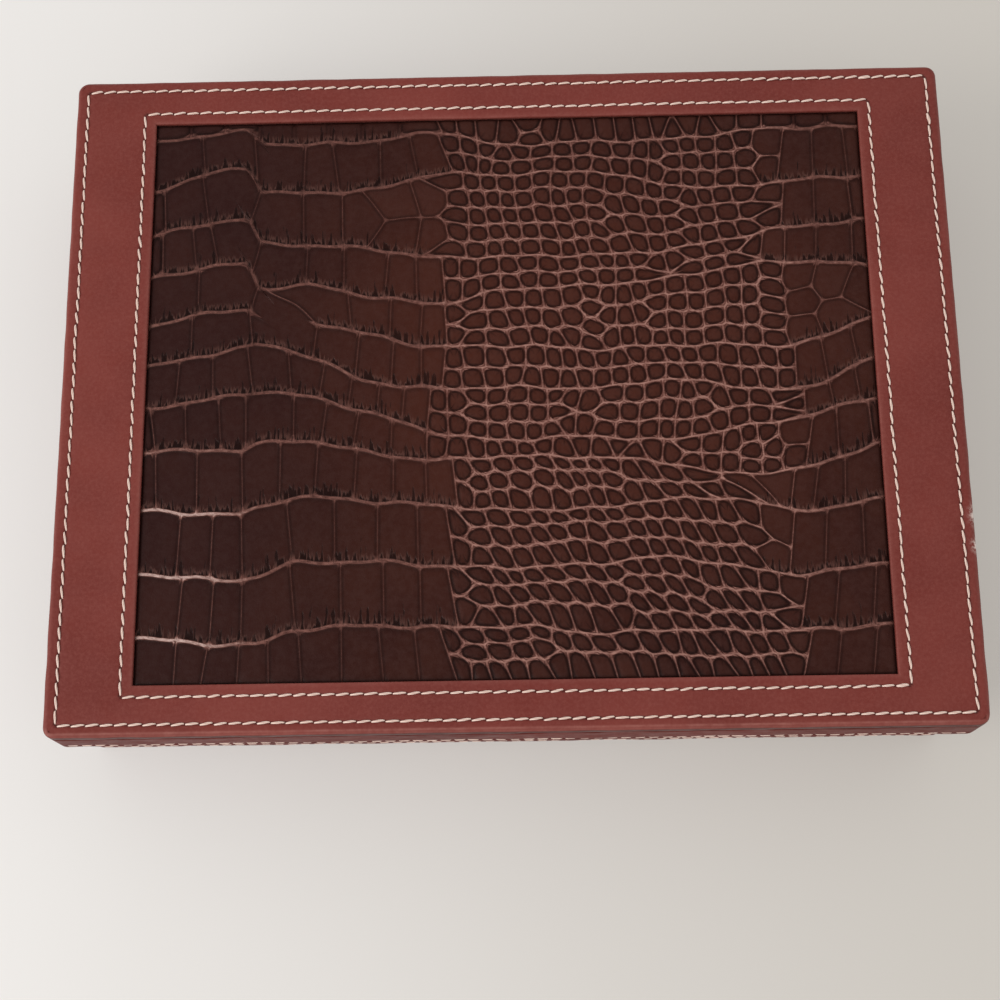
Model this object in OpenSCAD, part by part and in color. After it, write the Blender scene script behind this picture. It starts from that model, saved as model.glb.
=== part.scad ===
// Stationery box in leather over board, with a lift-off lid that slips down over the base.
// All sizes in millimetres. The origin is the middle of the underside, +X runs along the
// long side, +Y goes to the back and +Z goes up.

/* [Whole box] */
// Width of the lid over its leather, left to right
lid_w = 325; // [240:1:420]
// Depth of the lid over its leather, front to back
lid_d = 250; // [180:1:340]
// Height of the closed box, from the surface it stands on to the top leather
box_h = 60; // [45:1:140]
// Height of the lid, from its lower edge to its top leather
lid_h = 22; // [18:1:40]
// Radius of the upright corners of the lid
corner_r = 4; // [3:0.5:8]
// Gap all round between the lid's lining and the base
lid_gap = 0.8; // [0.5:0.1:2]

/* [Top panel] */
// Width of the smooth leather border at the left and right
border_side = 30.5; // [20:0.5:60]
// Width of the smooth leather border at the front and back
border_front = 18; // [14:0.5:40]
// How far the embossed panel lies below the smooth border
panel_drop = 1.4; // [0.8:0.1:3]
// How far the border leather turns down over the lid's edge
edge_fold = 4.6; // [3.5:0.1:8]
// Radius of the rolled top edge
edge_r = 1.8; // [1:0.1:2.5]

/* [Materials] */
// Thickness of the outside leather
leather_t = 1.2; // [0.8:0.1:2]
// Thickness of the board in the lid
lid_board_t = 2.5; // [2:0.1:5]
// Thickness of the board in the base
base_board_t = 3.5; // [2.5:0.1:6]
// Thickness of the suede lining
lining_t = 0.5; // [0.4:0.1:1]
// Thickness of the felt under the base
felt_t = 0.8; // [0.5:0.1:2]

/* [Stitching] */
// Distance from one stitch to the next
stitch_pitch = 4.9; // [3:0.1:8]
// Length of one stitch on the surface
stitch_len = 4.1; // [2.5:0.1:7]
// Thickness of the thread
thread_d = 0.85; // [0.5:0.05:1.2]
// Distance of the top's outer row from the edge of the lid
outer_row = 4.3; // [3.5:0.1:8]
// Distance of the top's inner row from the opening
inner_row = 4.2; // [3:0.1:8]
// Height of a side row above the edge that it follows
side_row = 3.4; // [3:0.1:6]

/* [Hidden] */
$fn = 48;

// Small working values that every cut or touching piece shares
cut = 1;
seam = 0.3;
rest_gap = 0.2;
stitch_slant = 7;
groove_w = thread_d + 0.25;
groove_depth = 0.35;
thread_sink = 0.05;

// Heights in the lid, counted down from the top
top_z = box_h;
frame_z = top_z - leather_t;
panel_top_z = top_z - panel_drop;
board_top_z = panel_top_z - leather_t;
board_low_z = board_top_z - lid_board_t;
lid_lining_z = board_low_z - lining_t;
lid_low_z = top_z - lid_h;
fold_low_z = top_z - edge_fold;

// Plan sizes in the lid, from the leather inwards
lid_core_w = lid_w - 2 * leather_t;
lid_core_d = lid_d - 2 * leather_t;
lid_core_r = corner_r - leather_t;
lid_in_w = lid_core_w - 2 * lid_board_t;
lid_in_d = lid_core_d - 2 * lid_board_t;
lid_clear_w = lid_in_w - 2 * lining_t;
lid_clear_d = lid_in_d - 2 * lining_t;
window_w = lid_w - 2 * border_side;
window_d = lid_d - 2 * border_front;
lip_t = leather_t;
card_window_w = window_w + 2 * lip_t;
card_window_d = window_d + 2 * lip_t;

// Plan sizes and heights in the base
skin_t = 1;
base_w = lid_clear_w - 2 * lid_gap;
base_d = lid_clear_d - 2 * lid_gap;
base_r = 3;
base_core_w = base_w - 2 * skin_t;
base_core_d = base_d - 2 * skin_t;
base_core_r = base_r - skin_t;
well_w = base_core_w - 2 * base_board_t;
well_d = base_core_d - 2 * base_board_t;
base_top_z = lid_lining_z - rest_gap;
bottom_leather_z = felt_t;
bottom_board_z = felt_t + skin_t;
wall_low_z = bottom_board_z + base_board_t;
wall_top_z = base_top_z - skin_t;
floor_card_t = 1;
floor_z = wall_low_z + floor_card_t;
felt_inset = 8;

// A rectangle with round corners, centred on the origin
module round_rect(w, d, r) {
    square([w - 2 * r, d], center = true);
    square([w, d - 2 * r], center = true);
    for (sx = [-1, 1], sy = [-1, 1])
        translate([sx * (w / 2 - r), sy * (d / 2 - r)])
            circle(r);
}

// A flat ring between two rectangles
module ring_2d(w, d, r, t) {
    difference() {
        round_rect(w, d, r);
        square([w - 2 * t, d - 2 * t], center = true);
    }
}

// An upright ring wall with round outer corners, t thick, from z0 up to z1
module wall_ring(w, d, r, t, z0, z1) {
    translate([0, 0, z0])
        linear_extrude(z1 - z0)
            ring_2d(w, d, r, t);
}

// A ring wall whose corners are round both outside and inside
module skin_ring(w, d, r, t, z0, z1) {
    translate([0, 0, z0])
        linear_extrude(z1 - z0)
            difference() {
                round_rect(w, d, r);
                round_rect(w - 2 * t, d - 2 * t, r - t);
            }
}

// A slab with round upright corners, from z0 up to z1
module slab(w, d, r, z0, z1) {
    translate([0, 0, z0])
        linear_extrude(z1 - z0)
            round_rect(w, d, r);
}

// A slab whose top edge is rolled over all round with radius e
module rolled_slab(w, d, r, e, z0, z1) {
    slab(w, d, r, z0, z1 - e);
    slab(w - 2 * e, d - 2 * e, r - e, z0, z1);
    for (sy = [-1, 1])
        translate([0, sy * (d / 2 - e), z1 - e])
            rotate([0, 90, 0])
                cylinder(h = w - 2 * r, r = e, center = true);
    for (sx = [-1, 1])
        translate([sx * (w / 2 - e), 0, z1 - e])
            rotate([90, 0, 0])
                cylinder(h = d - 2 * r, r = e, center = true);
    for (sx = [-1, 1], sy = [-1, 1])
        translate([sx * (w / 2 - r), sy * (d / 2 - r), z1 - e])
            rotate_extrude()
                intersection() {
                    translate([r - e, 0])
                        circle(e);
                    translate([0, -e])
                        square([r, 2 * e]);
                }
}

// One wall board of a tray: the front and back boards run the whole width,
// the left and right boards fit between them
module wall_board(w, d, r, t, z0, z1, side) {
    reach_w = w - 2 * t;
    intersection() {
        wall_ring(w, d, r, t, z0, z1);
        if (side == "front")
            translate([-w / 2 - cut, -d / 2 - cut, z0 - cut])
                cube([w + 2 * cut, t + cut, z1 - z0 + 2 * cut]);
        if (side == "back")
            translate([-w / 2 - cut, d / 2 - t, z0 - cut])
                cube([w + 2 * cut, t + cut, z1 - z0 + 2 * cut]);
        if (side == "left")
            translate([-w / 2 - cut, -d / 2 + t, z0 - cut])
                cube([t + cut, d - 2 * t, z1 - z0 + 2 * cut]);
        if (side == "right")
            translate([reach_w / 2, -d / 2 + t, z0 - cut])
                cube([t + cut, d - 2 * t, z1 - z0 + 2 * cut]);
    }
}

// One straight row of stitches along X, lying in the XY plane, each a little slanted
module stitch_row(run) {
    count = floor((run - stitch_len) / stitch_pitch) + 1;
    first = -(count - 1) * stitch_pitch / 2;
    for (i = [0 : count - 1])
        translate([first + i * stitch_pitch, 0, 0])
            rotate([0, 90, stitch_slant])
                cylinder(h = stitch_len, d = thread_d, center = true, $fn = 16);
}

// Four rows that meet at the corners of a flat rectangle
module flat_rows(w, d, z) {
    for (turn = [0, 180])
        rotate([0, 0, turn])
            translate([0, -d / 2, z])
                stitch_row(w - stitch_pitch);
    for (turn = [90, 270])
        rotate([0, 0, turn])
            translate([0, -w / 2, z])
                stitch_row(d - stitch_pitch);
}

// Four rows on upright sides, which stop short of the round corners
module side_rows(w, d, r, z) {
    proud = thread_d / 2 - groove_depth - thread_sink;
    for (turn = [0, 180])
        rotate([0, 0, turn])
            translate([0, -d / 2 - proud, z])
                rotate([90, 0, 0])
                    stitch_row(w - 2 * r);
    for (turn = [90, 270])
        rotate([0, 0, turn])
            translate([0, -w / 2 - proud, z])
                rotate([90, 0, 0])
                    stitch_row(d - 2 * r);
}

// The crease that a flat row of stitches lies in
module flat_groove(w, d) {
    translate([0, 0, top_z - groove_depth])
        linear_extrude(groove_depth + cut)
            difference() {
                square([w + groove_w, d + groove_w], center = true);
                square([w - groove_w, d - groove_w], center = true);
            }
}

// The crease round upright sides, r at the outer corners
module side_groove(w, d, r, z) {
    translate([0, 0, z - groove_w / 2])
        linear_extrude(groove_w)
            difference() {
                square([w + 2 * cut, d + 2 * cut], center = true);
                round_rect(w - 2 * groove_depth, d - 2 * groove_depth, r - groove_depth);
            }
}

outer_row_w = lid_w - 2 * outer_row;
outer_row_d = lid_d - 2 * outer_row;
inner_row_w = window_w + 2 * inner_row;
inner_row_d = window_d + 2 * inner_row;
flat_stitch_z = top_z - groove_depth - thread_sink + thread_d / 2;
lid_row_z = lid_low_z + side_row;
base_row_z = bottom_leather_z + side_row;

// Smooth border leather of the top, cut as one piece round the opening. It rolls over
// the lid's edge and turns down inside the opening.
module frame_leather() {
    color("#7a342c")
        difference() {
            rolled_slab(lid_w, lid_d, corner_r, edge_r, fold_low_z, top_z);
            slab(lid_core_w, lid_core_d, lid_core_r, fold_low_z - cut, board_top_z);
            difference() {
                slab(lid_core_w, lid_core_d, lid_core_r, board_top_z - cut, frame_z);
                translate([-card_window_w / 2, -card_window_d / 2, board_top_z])
                    cube([card_window_w, card_window_d, box_h]);
            }
            translate([-window_w / 2, -window_d / 2, fold_low_z])
                cube([window_w, window_d, box_h]);
            flat_groove(outer_row_w, outer_row_d);
            flat_groove(inner_row_w, inner_row_d);
        }
}

// Card under the border leather, which lifts it above the embossed panel
module frame_card() {
    color("#b9a27c")
        translate([0, 0, board_top_z])
            linear_extrude(frame_z - board_top_z)
                difference() {
                    round_rect(lid_core_w, lid_core_d, lid_core_r);
                    square([card_window_w, card_window_d], center = true);
                }
}

// Embossed leather panel in the opening
module croc_panel() {
    color("#33201f")
        translate([-window_w / 2, -window_d / 2, board_top_z])
            cube([window_w, window_d, leather_t]);
}

// Row of stitches along the outer edge of the top
module outer_stitching() {
    color("#ead6cb")
        flat_rows(outer_row_w, outer_row_d, flat_stitch_z);
}

// Row of stitches round the opening
module inner_stitching() {
    color("#ead6cb")
        flat_rows(inner_row_w, inner_row_d, flat_stitch_z);
}

// Board of the lid's top
module lid_top_board() {
    color("#a98f66")
        slab(lid_core_w, lid_core_d, lid_core_r, board_low_z, board_top_z);
}

// Wall boards of the lid, under the top board
module lid_wall(side) {
    color("#a98f66")
        wall_board(lid_core_w, lid_core_d, lid_core_r, lid_board_t,
            lid_low_z + leather_t, board_low_z, side);
}

module lid_front_board() {
    lid_wall("front");
}

module lid_back_board() {
    lid_wall("back");
}

module lid_left_board() {
    lid_wall("left");
}

module lid_right_board() {
    lid_wall("right");
}

// Leather round the lid's sides, turned under the lower edge of the boards
module lid_side_leather() {
    color("#71302a")
        difference() {
            union() {
                skin_ring(lid_w, lid_d, corner_r, leather_t, lid_low_z, fold_low_z - seam);
                wall_ring(lid_w, lid_d, corner_r, leather_t + lid_board_t + lining_t,
                    lid_low_z, lid_low_z + leather_t);
            }
            side_groove(lid_w, lid_d, corner_r, lid_row_z);
        }
}

// Row of stitches along the lower edge of the lid's sides
module lid_side_stitching() {
    color("#ead6cb")
        side_rows(lid_w, lid_d, corner_r, lid_row_z);
}

// Suede under the lid's top board
module lid_top_lining() {
    color("#b08d68")
        translate([-lid_in_w / 2, -lid_in_d / 2, lid_lining_z])
            cube([lid_in_w, lid_in_d, lining_t]);
}

// Suede on the inside of the lid's walls
module lid_side_lining() {
    color("#b08d68")
        translate([0, 0, lid_low_z + leather_t])
            linear_extrude(lid_lining_z - lid_low_z - leather_t)
                difference() {
                    square([lid_in_w, lid_in_d], center = true);
                    square([lid_clear_w, lid_clear_d], center = true);
                }
}

// Bottom board of the base
module base_bottom_board() {
    color("#a98f66")
        slab(base_core_w, base_core_d, base_core_r, bottom_board_z, wall_low_z);
}

// Wall boards of the base, standing on the bottom board
module base_wall(side) {
    color("#a98f66")
        wall_board(base_core_w, base_core_d, base_core_r, base_board_t,
            wall_low_z, wall_top_z, side);
}

module base_front_board() {
    base_wall("front");
}

module base_back_board() {
    base_wall("back");
}

module base_left_board() {
    base_wall("left");
}

module base_right_board() {
    base_wall("right");
}

// Leather round the base, turned over the rim of the boards
module base_side_leather() {
    color("#6d2e28")
        difference() {
            union() {
                skin_ring(base_w, base_d, base_r, skin_t, bottom_leather_z, base_top_z);
                wall_ring(base_w, base_d, base_r, skin_t + base_board_t + lining_t,
                    wall_top_z, base_top_z);
            }
            side_groove(base_w, base_d, base_r, base_row_z);
        }
}

// Row of stitches along the foot of the base
module base_stitching() {
    color("#ead6cb")
        side_rows(base_w, base_d, base_r, base_row_z);
}

// Leather under the bottom board
module base_bottom_leather() {
    color("#5d2822")
        slab(base_core_w, base_core_d, base_core_r, bottom_leather_z, bottom_board_z);
}

// Suede on the inside of the base's walls
module base_side_lining() {
    color("#b08d68")
        translate([0, 0, floor_z])
            linear_extrude(wall_top_z - floor_z)
                difference() {
                    square([well_w, well_d], center = true);
                    square([well_w - 2 * lining_t, well_d - 2 * lining_t], center = true);
                }
}

// Loose card that carries the lining of the floor
module floor_card() {
    color("#b9a27c")
        translate([-well_w / 2, -well_d / 2, wall_low_z])
            cube([well_w, well_d, floor_card_t]);
}

// Suede on the floor of the base
module floor_lining() {
    color("#b08d68")
        translate([-well_w / 2 + lining_t, -well_d / 2 + lining_t, floor_z])
            cube([well_w - 2 * lining_t, well_d - 2 * lining_t, lining_t]);
}

// Felt under the base, which the box stands on
module base_felt() {
    color("#3d2b25")
        slab(base_w - 2 * felt_inset, base_d - 2 * felt_inset, base_r, 0, felt_t);
}

frame_leather();
frame_card();
croc_panel();
outer_stitching();
inner_stitching();
lid_top_board();
lid_front_board();
lid_back_board();
lid_left_board();
lid_right_board();
lid_side_leather();
lid_side_stitching();
lid_top_lining();
lid_side_lining();
base_bottom_board();
base_front_board();
base_back_board();
base_left_board();
base_right_board();
base_side_leather();
base_stitching();
base_bottom_leather();
base_side_lining();
floor_card();
floor_lining();
base_felt();
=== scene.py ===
import math

import bpy
import numpy as np
from mathutils import Euler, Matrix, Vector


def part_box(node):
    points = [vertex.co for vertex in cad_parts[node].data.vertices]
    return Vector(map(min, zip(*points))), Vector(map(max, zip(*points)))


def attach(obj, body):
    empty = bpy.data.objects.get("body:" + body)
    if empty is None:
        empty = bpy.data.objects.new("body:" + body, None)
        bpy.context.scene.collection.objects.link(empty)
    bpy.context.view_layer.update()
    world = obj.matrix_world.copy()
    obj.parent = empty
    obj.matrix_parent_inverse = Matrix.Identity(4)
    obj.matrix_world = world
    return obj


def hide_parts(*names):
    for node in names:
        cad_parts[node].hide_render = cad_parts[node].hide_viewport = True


bl_info = {
    "name": "Leather stationery box",
    "version": (1, 0, 0),
    "blender": (4, 5, 0),
    "location": "3D View > Sidebar > Stationery box",
    "description": "Dresses a lidded leather box: stitched border, crocodile-embossed panel, suede lining",
    "category": "Object",
}

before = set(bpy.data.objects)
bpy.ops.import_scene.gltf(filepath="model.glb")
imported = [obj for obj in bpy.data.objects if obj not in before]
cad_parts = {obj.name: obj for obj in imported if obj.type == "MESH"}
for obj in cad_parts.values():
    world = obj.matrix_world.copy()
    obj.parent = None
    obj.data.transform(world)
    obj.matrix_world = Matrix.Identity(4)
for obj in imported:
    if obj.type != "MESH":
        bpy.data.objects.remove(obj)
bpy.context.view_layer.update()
MM = 0.001


def box_mm(node):
    """Lowest and highest corner of a carried-over solid, in millimetres."""
    low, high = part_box(node)
    return np.array(low) / MM, np.array(high) / MM


# Frame sizes that the new pieces take over, in millimetres
TOP_LOW, TOP_HIGH = box_mm("frame_leather")
SIDE_LOW, SIDE_HIGH = box_mm("lid_side_leather")
PANEL_LOW, PANEL_HIGH = box_mm("croc_panel")
BASE_LOW, BASE_HIGH = box_mm("base_side_leather")
LID_W, LID_D = (TOP_HIGH - TOP_LOW)[:2]
BASE_W, BASE_D = (BASE_HIGH - BASE_LOW)[:2]
WINDOW_W, WINDOW_D = (PANEL_HIGH - PANEL_LOW)[:2]
TOP_Z = TOP_HIGH[2]
PANEL_Z = PANEL_HIGH[2]

# Corner radii seen from above, where the border's opening is nearly sharp
CORNER_R = 4.0
BASE_CORNER_R = 3.0
SHARP_R = 0.1
CORNER_POINTS = 7

# Thickness of the walls that the side leather runs under or is turned over, and the radii of its
# rolled edges and of the border's lip
LID_WALL = 4.2
BASE_WALL = 5.0
SKIRT_ROLL = 0.9
LIP_R = 0.7

# Distance of each row of stitches from its edge, and how much shorter a row on top is than its side
OUTER_ROW = 4.3
INNER_ROW = 4.2
SIDE_ROW = 3.4
ROW_END = 1.2

# The thread, and each stitch's lean from its row in degrees
THREAD_D = 0.85
STITCH_SLANT = 7.0
# How far the border's top and its stitches lie below the solid's top
SUNK = 0.1
# Places across a row of stitches where the leather has points
ACROSS_ROW = [-2.2, -1.3, -0.8, -0.5, -0.25, 0, 0.25, 0.5, 0.8, 1.3, 2.2]
# Spots where two stitches lie on each other, in the two rows on top
DOUBLED_OUTER = [(135, 123), (158, 103)]
DOUBLED_INNER = [(135, -113)]
# White scuffs on the right edge: place along it, and reach
SCUFFS = [(-51, 3.0), (-62, 2.2)]

# Distance between the calf's pores as drawn, and the spot that its embossed scales are warmest round,
# in metres
PORE_MM = 0.7
WARM_AT = (0.03, 0.012, PANEL_Z * MM)


class BoxSizes(bpy.types.PropertyGroup):
    stitch_pitch: bpy.props.FloatProperty(
        name="Stitch pitch", description="Distance from one stitch to the next",
        default=4.9 * MM, unit="LENGTH", precision=4)
    ridge_height: bpy.props.FloatProperty(
        name="Ridge height", description="Height of the strong ridges of the embossing",
        default=0.42 * MM, unit="LENGTH", precision=5)
    edge_roll: bpy.props.FloatProperty(
        name="Edge roll", description="Radius of the rolled top edge of the lid",
        default=1.8 * MM, unit="LENGTH", precision=4)
    seed: bpy.props.IntProperty(
        name="Seed", description="Seed of every small irregularity", default=11)


class BoxColours(bpy.types.PropertyGroup):
    calf: bpy.props.StringProperty(
        name="Calf", description="Colour of the smooth leather, as sRGB hex", default="#7d3730")
    calf_deep: bpy.props.StringProperty(
        name="Deep calf", description="Darker tone in the smooth leather", default="#702d27")
    # The side calf is drawn darker than the top's calf: a painted shade on the upright sides
    side: bpy.props.StringProperty(
        name="Side calf", description="Colour of the leather round the sides", default="#6e332f")
    side_deep: bpy.props.StringProperty(
        name="Deep side calf", description="Darker tone in the leather round the sides", default="#602c29")
    scale: bpy.props.StringProperty(
        name="Scales", description="Colour of the embossed scales", default="#331713")
    scale_warm: bpy.props.StringProperty(
        name="Warm scales", description="Warmer tone in the scales", default="#3b1c15")
    ridge: bpy.props.StringProperty(
        name="Ridges", description="Colour of the rubbed ridges between scales", default="#7a5048")
    thread: bpy.props.StringProperty(
        name="Thread", description="Colour of the waxed thread", default="#f5dccf")
    suede: bpy.props.StringProperty(
        name="Suede", description="Colour of the lining", default="#a9835d")
    floor: bpy.props.StringProperty(
        name="Floor", description="Colour of the surface the box stands on", default="#bdbbb9")


def linear(code):
    """sRGB hex to linear RGBA."""
    s = np.array([int(code[i:i + 2], 16) for i in (1, 3, 5)]) / 255
    rgb = np.where(s <= 0.04045, s / 12.92, ((s + 0.055) / 1.055) ** 2.4)
    return (*rgb.tolist(), 1.0)


def join(tree, node, inputs):
    """Sets a node's inputs, by name or number, to values, or links them from sockets."""
    for key, value in inputs.items():
        if isinstance(value, bpy.types.NodeSocket):
            tree.links.new(value, node.inputs[key])
        else:
            node.inputs[key].default_value = value


def add(tree, kind, inputs, out=None, **settings):
    """Adds one shader node with its settings and inputs. Returns its output socket named or numbered
    out, or the node itself where none is named."""
    made = tree.nodes.new(kind)
    for key, value in settings.items():
        setattr(made, key, value)
    join(tree, made, inputs)
    return made if out is None else made.outputs[out]


# Setting of a Map Range node that eases in and out
EASED = {"interpolation_type": "SMOOTHSTEP"}


def blank_material(name):
    """A material with only a Principled shader. Returns the material, its tree and the shader."""
    made = bpy.data.materials.new(name)
    made.use_nodes = True
    tree = made.node_tree
    tree.nodes.clear()
    shader = add(tree, "ShaderNodeBsdfPrincipled", {})
    add(tree, "ShaderNodeOutputMaterial", {"Surface": shader.outputs["BSDF"]})
    return made, tree, shader


def object_place(tree, x=1.0, y=1.0, z=1.0, shift=0.0):
    """Object coordinates in metres, stretched along each axis and shifted across the top."""
    place = add(tree, "ShaderNodeTexCoord", {}, "Object")
    return add(tree, "ShaderNodeMapping", {
        "Vector": place, "Scale": (x, y, z), "Location": (shift, shift, 0)}, "Vector")


def stored_values(tree, *names):
    """Sockets of the point attributes that a piece was made with."""
    return [add(tree, "ShaderNodeAttribute", {}, "Fac", attribute_name=name) for name in names]


def patches(tree, place, size_mm, detail, roughness, low, high, dim=0.0, full=1.0):
    """Patches about size_mm across: noise, eased from dim where it is under low to full over high."""
    cloud = add(tree, "ShaderNodeTexNoise", {
        "Vector": place, "Scale": 1 / (size_mm * MM), "Detail": detail, "Roughness": roughness}, "Fac")
    return add(tree, "ShaderNodeMapRange", {
        "Value": cloud, "From Min": low, "From Max": high, "To Min": dim, "To Max": full}, "Result", **EASED)


def stain(tree, colour, code, *shares):
    """The colour code laid over colour, as strongly as the product of the shares, sockets or numbers."""
    share = shares[0]
    for other in shares[1:]:
        share = add(tree, "ShaderNodeMath", {0: share, 1: other}, 0, operation="MULTIPLY")
    return add(tree, "ShaderNodeMix", {0: share, 6: colour, 7: linear(code)}, 2, data_type="RGBA")


def weighted_sum(tree, *terms):
    """The sum of the terms, each a socket and the number that it is multiplied by."""
    total = None
    for socket, weight in terms:
        part = add(tree, "ShaderNodeMath", {0: socket, 1: weight}, 0, operation="MULTIPLY")
        total = part if total is None else add(tree, "ShaderNodeMath", {0: total, 1: part}, 0)
    return total


def grain(tree, place, pore_mm, strength, *folds):
    """Leather grain as a normal: rounded pebbles pore_mm across, soft folds five times as large over
    them, and any further folds, each a socket and its weight."""
    pebbles = add(tree, "ShaderNodeTexVoronoi", {"Vector": place, "Scale": 1 / (pore_mm * MM)},
                  "Distance", feature="SMOOTH_F1")
    soft = add(tree, "ShaderNodeTexNoise", {
        "Vector": place, "Scale": 1 / (5 * pore_mm * MM), "Detail": 4.0, "Roughness": 0.6}, "Fac")
    height = weighted_sum(tree, (pebbles, 0.6), (soft, 0.8), *folds)
    return add(tree, "ShaderNodeBump", {
        "Strength": strength, "Distance": 0.12 * MM, "Height": height}, "Normal")


def fibres(tree, size_mm, detail, roughness, twist, eased, strength, depth_mm):
    """Fibres about size_mm across, from twisted noise: as a share for their colour, eased over
    (low, high, full), and as a normal for their relief, depth_mm deep."""
    low, high, full = eased
    tangle = add(tree, "ShaderNodeTexNoise", {
        "Vector": object_place(tree), "Scale": 1 / (size_mm * MM), "Detail": detail,
        "Roughness": roughness, "Distortion": twist}, "Fac")
    share = add(tree, "ShaderNodeMapRange", {
        "Value": tangle, "From Min": low, "From Max": high, "To Max": full}, "Result", **EASED)
    normal = add(tree, "ShaderNodeBump", {
        "Strength": strength, "Distance": depth_mm * MM, "Height": tangle}, "Normal")
    return share, normal


# Smooth calf leather, drum dyed and lightly finished: satin, a soft cloudy tone, a painted shade in
# its stitch creases, needle holes and seams and in the recess round the opening, paler along the
# edges where it is worn, with a painted highlight along the lid's front rolled edge, and nearly white
# where it is scuffed. Its pores are some 0.2 mm apart and are drawn 0.7 mm apart, so that they show.
def calf_material(name, shift, pale, deep, gloss):
    made, tree, shader = blank_material(name)
    place = object_place(tree, shift=shift)
    crease, wear_and_highlight, scuff = stored_values(tree, "crease", "wear_and_highlight", "scuff")
    colour = stain(tree, linear(deep), pale, patches(tree, place, 60, 3, 0.55, 0.3, 0.7))
    colour = stain(tree, colour, "#8c4d45", patches(tree, place, 1.3, 5, 0.75, 0.38, 0.7), 0.34)
    colour = stain(tree, colour, "#4a1d18", patches(tree, place, 0.55, 2, 0.6, 0.62, 0.78), 0.35)
    # A painted shade in the creases, needle holes, seams and recesses
    colour = stain(tree, colour, "#35130f", crease, 0.75)
    rubbed = patches(tree, place, 5, 5, 0.7, 0.35, 0.7, 0.4)
    # Paler where worn, and a painted highlight along the front's rolled edge
    colour = stain(tree, colour, "#a97168", wear_and_highlight, rubbed, 0.55)
    scraped = patches(tree, place, 1.3, 4, 0.7, 0.42, 0.6)
    join(tree, shader, {
        "Base Color": stain(tree, colour, "#e8d9d2", scuff, scraped),
        "Roughness": patches(tree, place, 9, 4, 0.6, 0.3, 0.7, 0.4, 0.54),
        "Specular IOR Level": gloss,
        "Normal": grain(tree, place, PORE_MM, 0.35)})
    return made


# The same calf on the underside, dull, where no crease shade, wear or highlight is drawn
def underside_material(colours):
    made, tree, shader = blank_material("underside_calf")
    place = object_place(tree)
    cloud = patches(tree, place, 40, 3, 0.55, 0.3, 0.7)
    join(tree, shader, {
        "Base Color": stain(tree, linear("#5f2922"), colours.calf_deep, cloud),
        "Roughness": 0.6,
        "Normal": grain(tree, place, PORE_MM, 0.35)})
    return made


def scale_colour(tree, place, colours, tone, rim):
    """Colour of the scales before their ridges are rubbed: dark and mottled, cooler to the panel's
    left and warmer round WARM_AT, with a dark rim along each ridge, and in the same rim a painted
    shadow of the border's lip along the panel's edge."""
    across = add(tree, "ShaderNodeSeparateXYZ", {0: place}, "X")
    cool = add(tree, "ShaderNodeMapRange", {
        "Value": across, "From Min": -0.12, "From Max": -0.02, "To Min": 0.5, "To Max": 0.0},
        "Result", **EASED)
    from_middle = add(tree, "ShaderNodeVectorMath", {0: place, 1: WARM_AT}, "Value", operation="DISTANCE")
    warm = add(tree, "ShaderNodeMapRange", {
        "Value": from_middle, "From Min": 0.03, "From Max": 0.12, "To Min": 0.55, "To Max": 0.0},
        "Result", **EASED)
    mottle = patches(tree, place, 2.4, 6, 0.72, 0.3, 0.72)
    cloud = patches(tree, place, 38, 3, 0.6, 0.32, 0.68)
    colour = stain(tree, linear(colours.scale), colours.scale_warm, cloud)
    colour = stain(tree, colour, "#442621", mottle, 0.5)
    colour = stain(tree, colour, "#2a1718", cool)
    colour = stain(tree, colour, "#54291d", warm)
    colour = stain(tree, colour, "#4f2b23", tone, 0.3)
    return stain(tree, colour, "#160706", rim, 0.85), mottle


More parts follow.
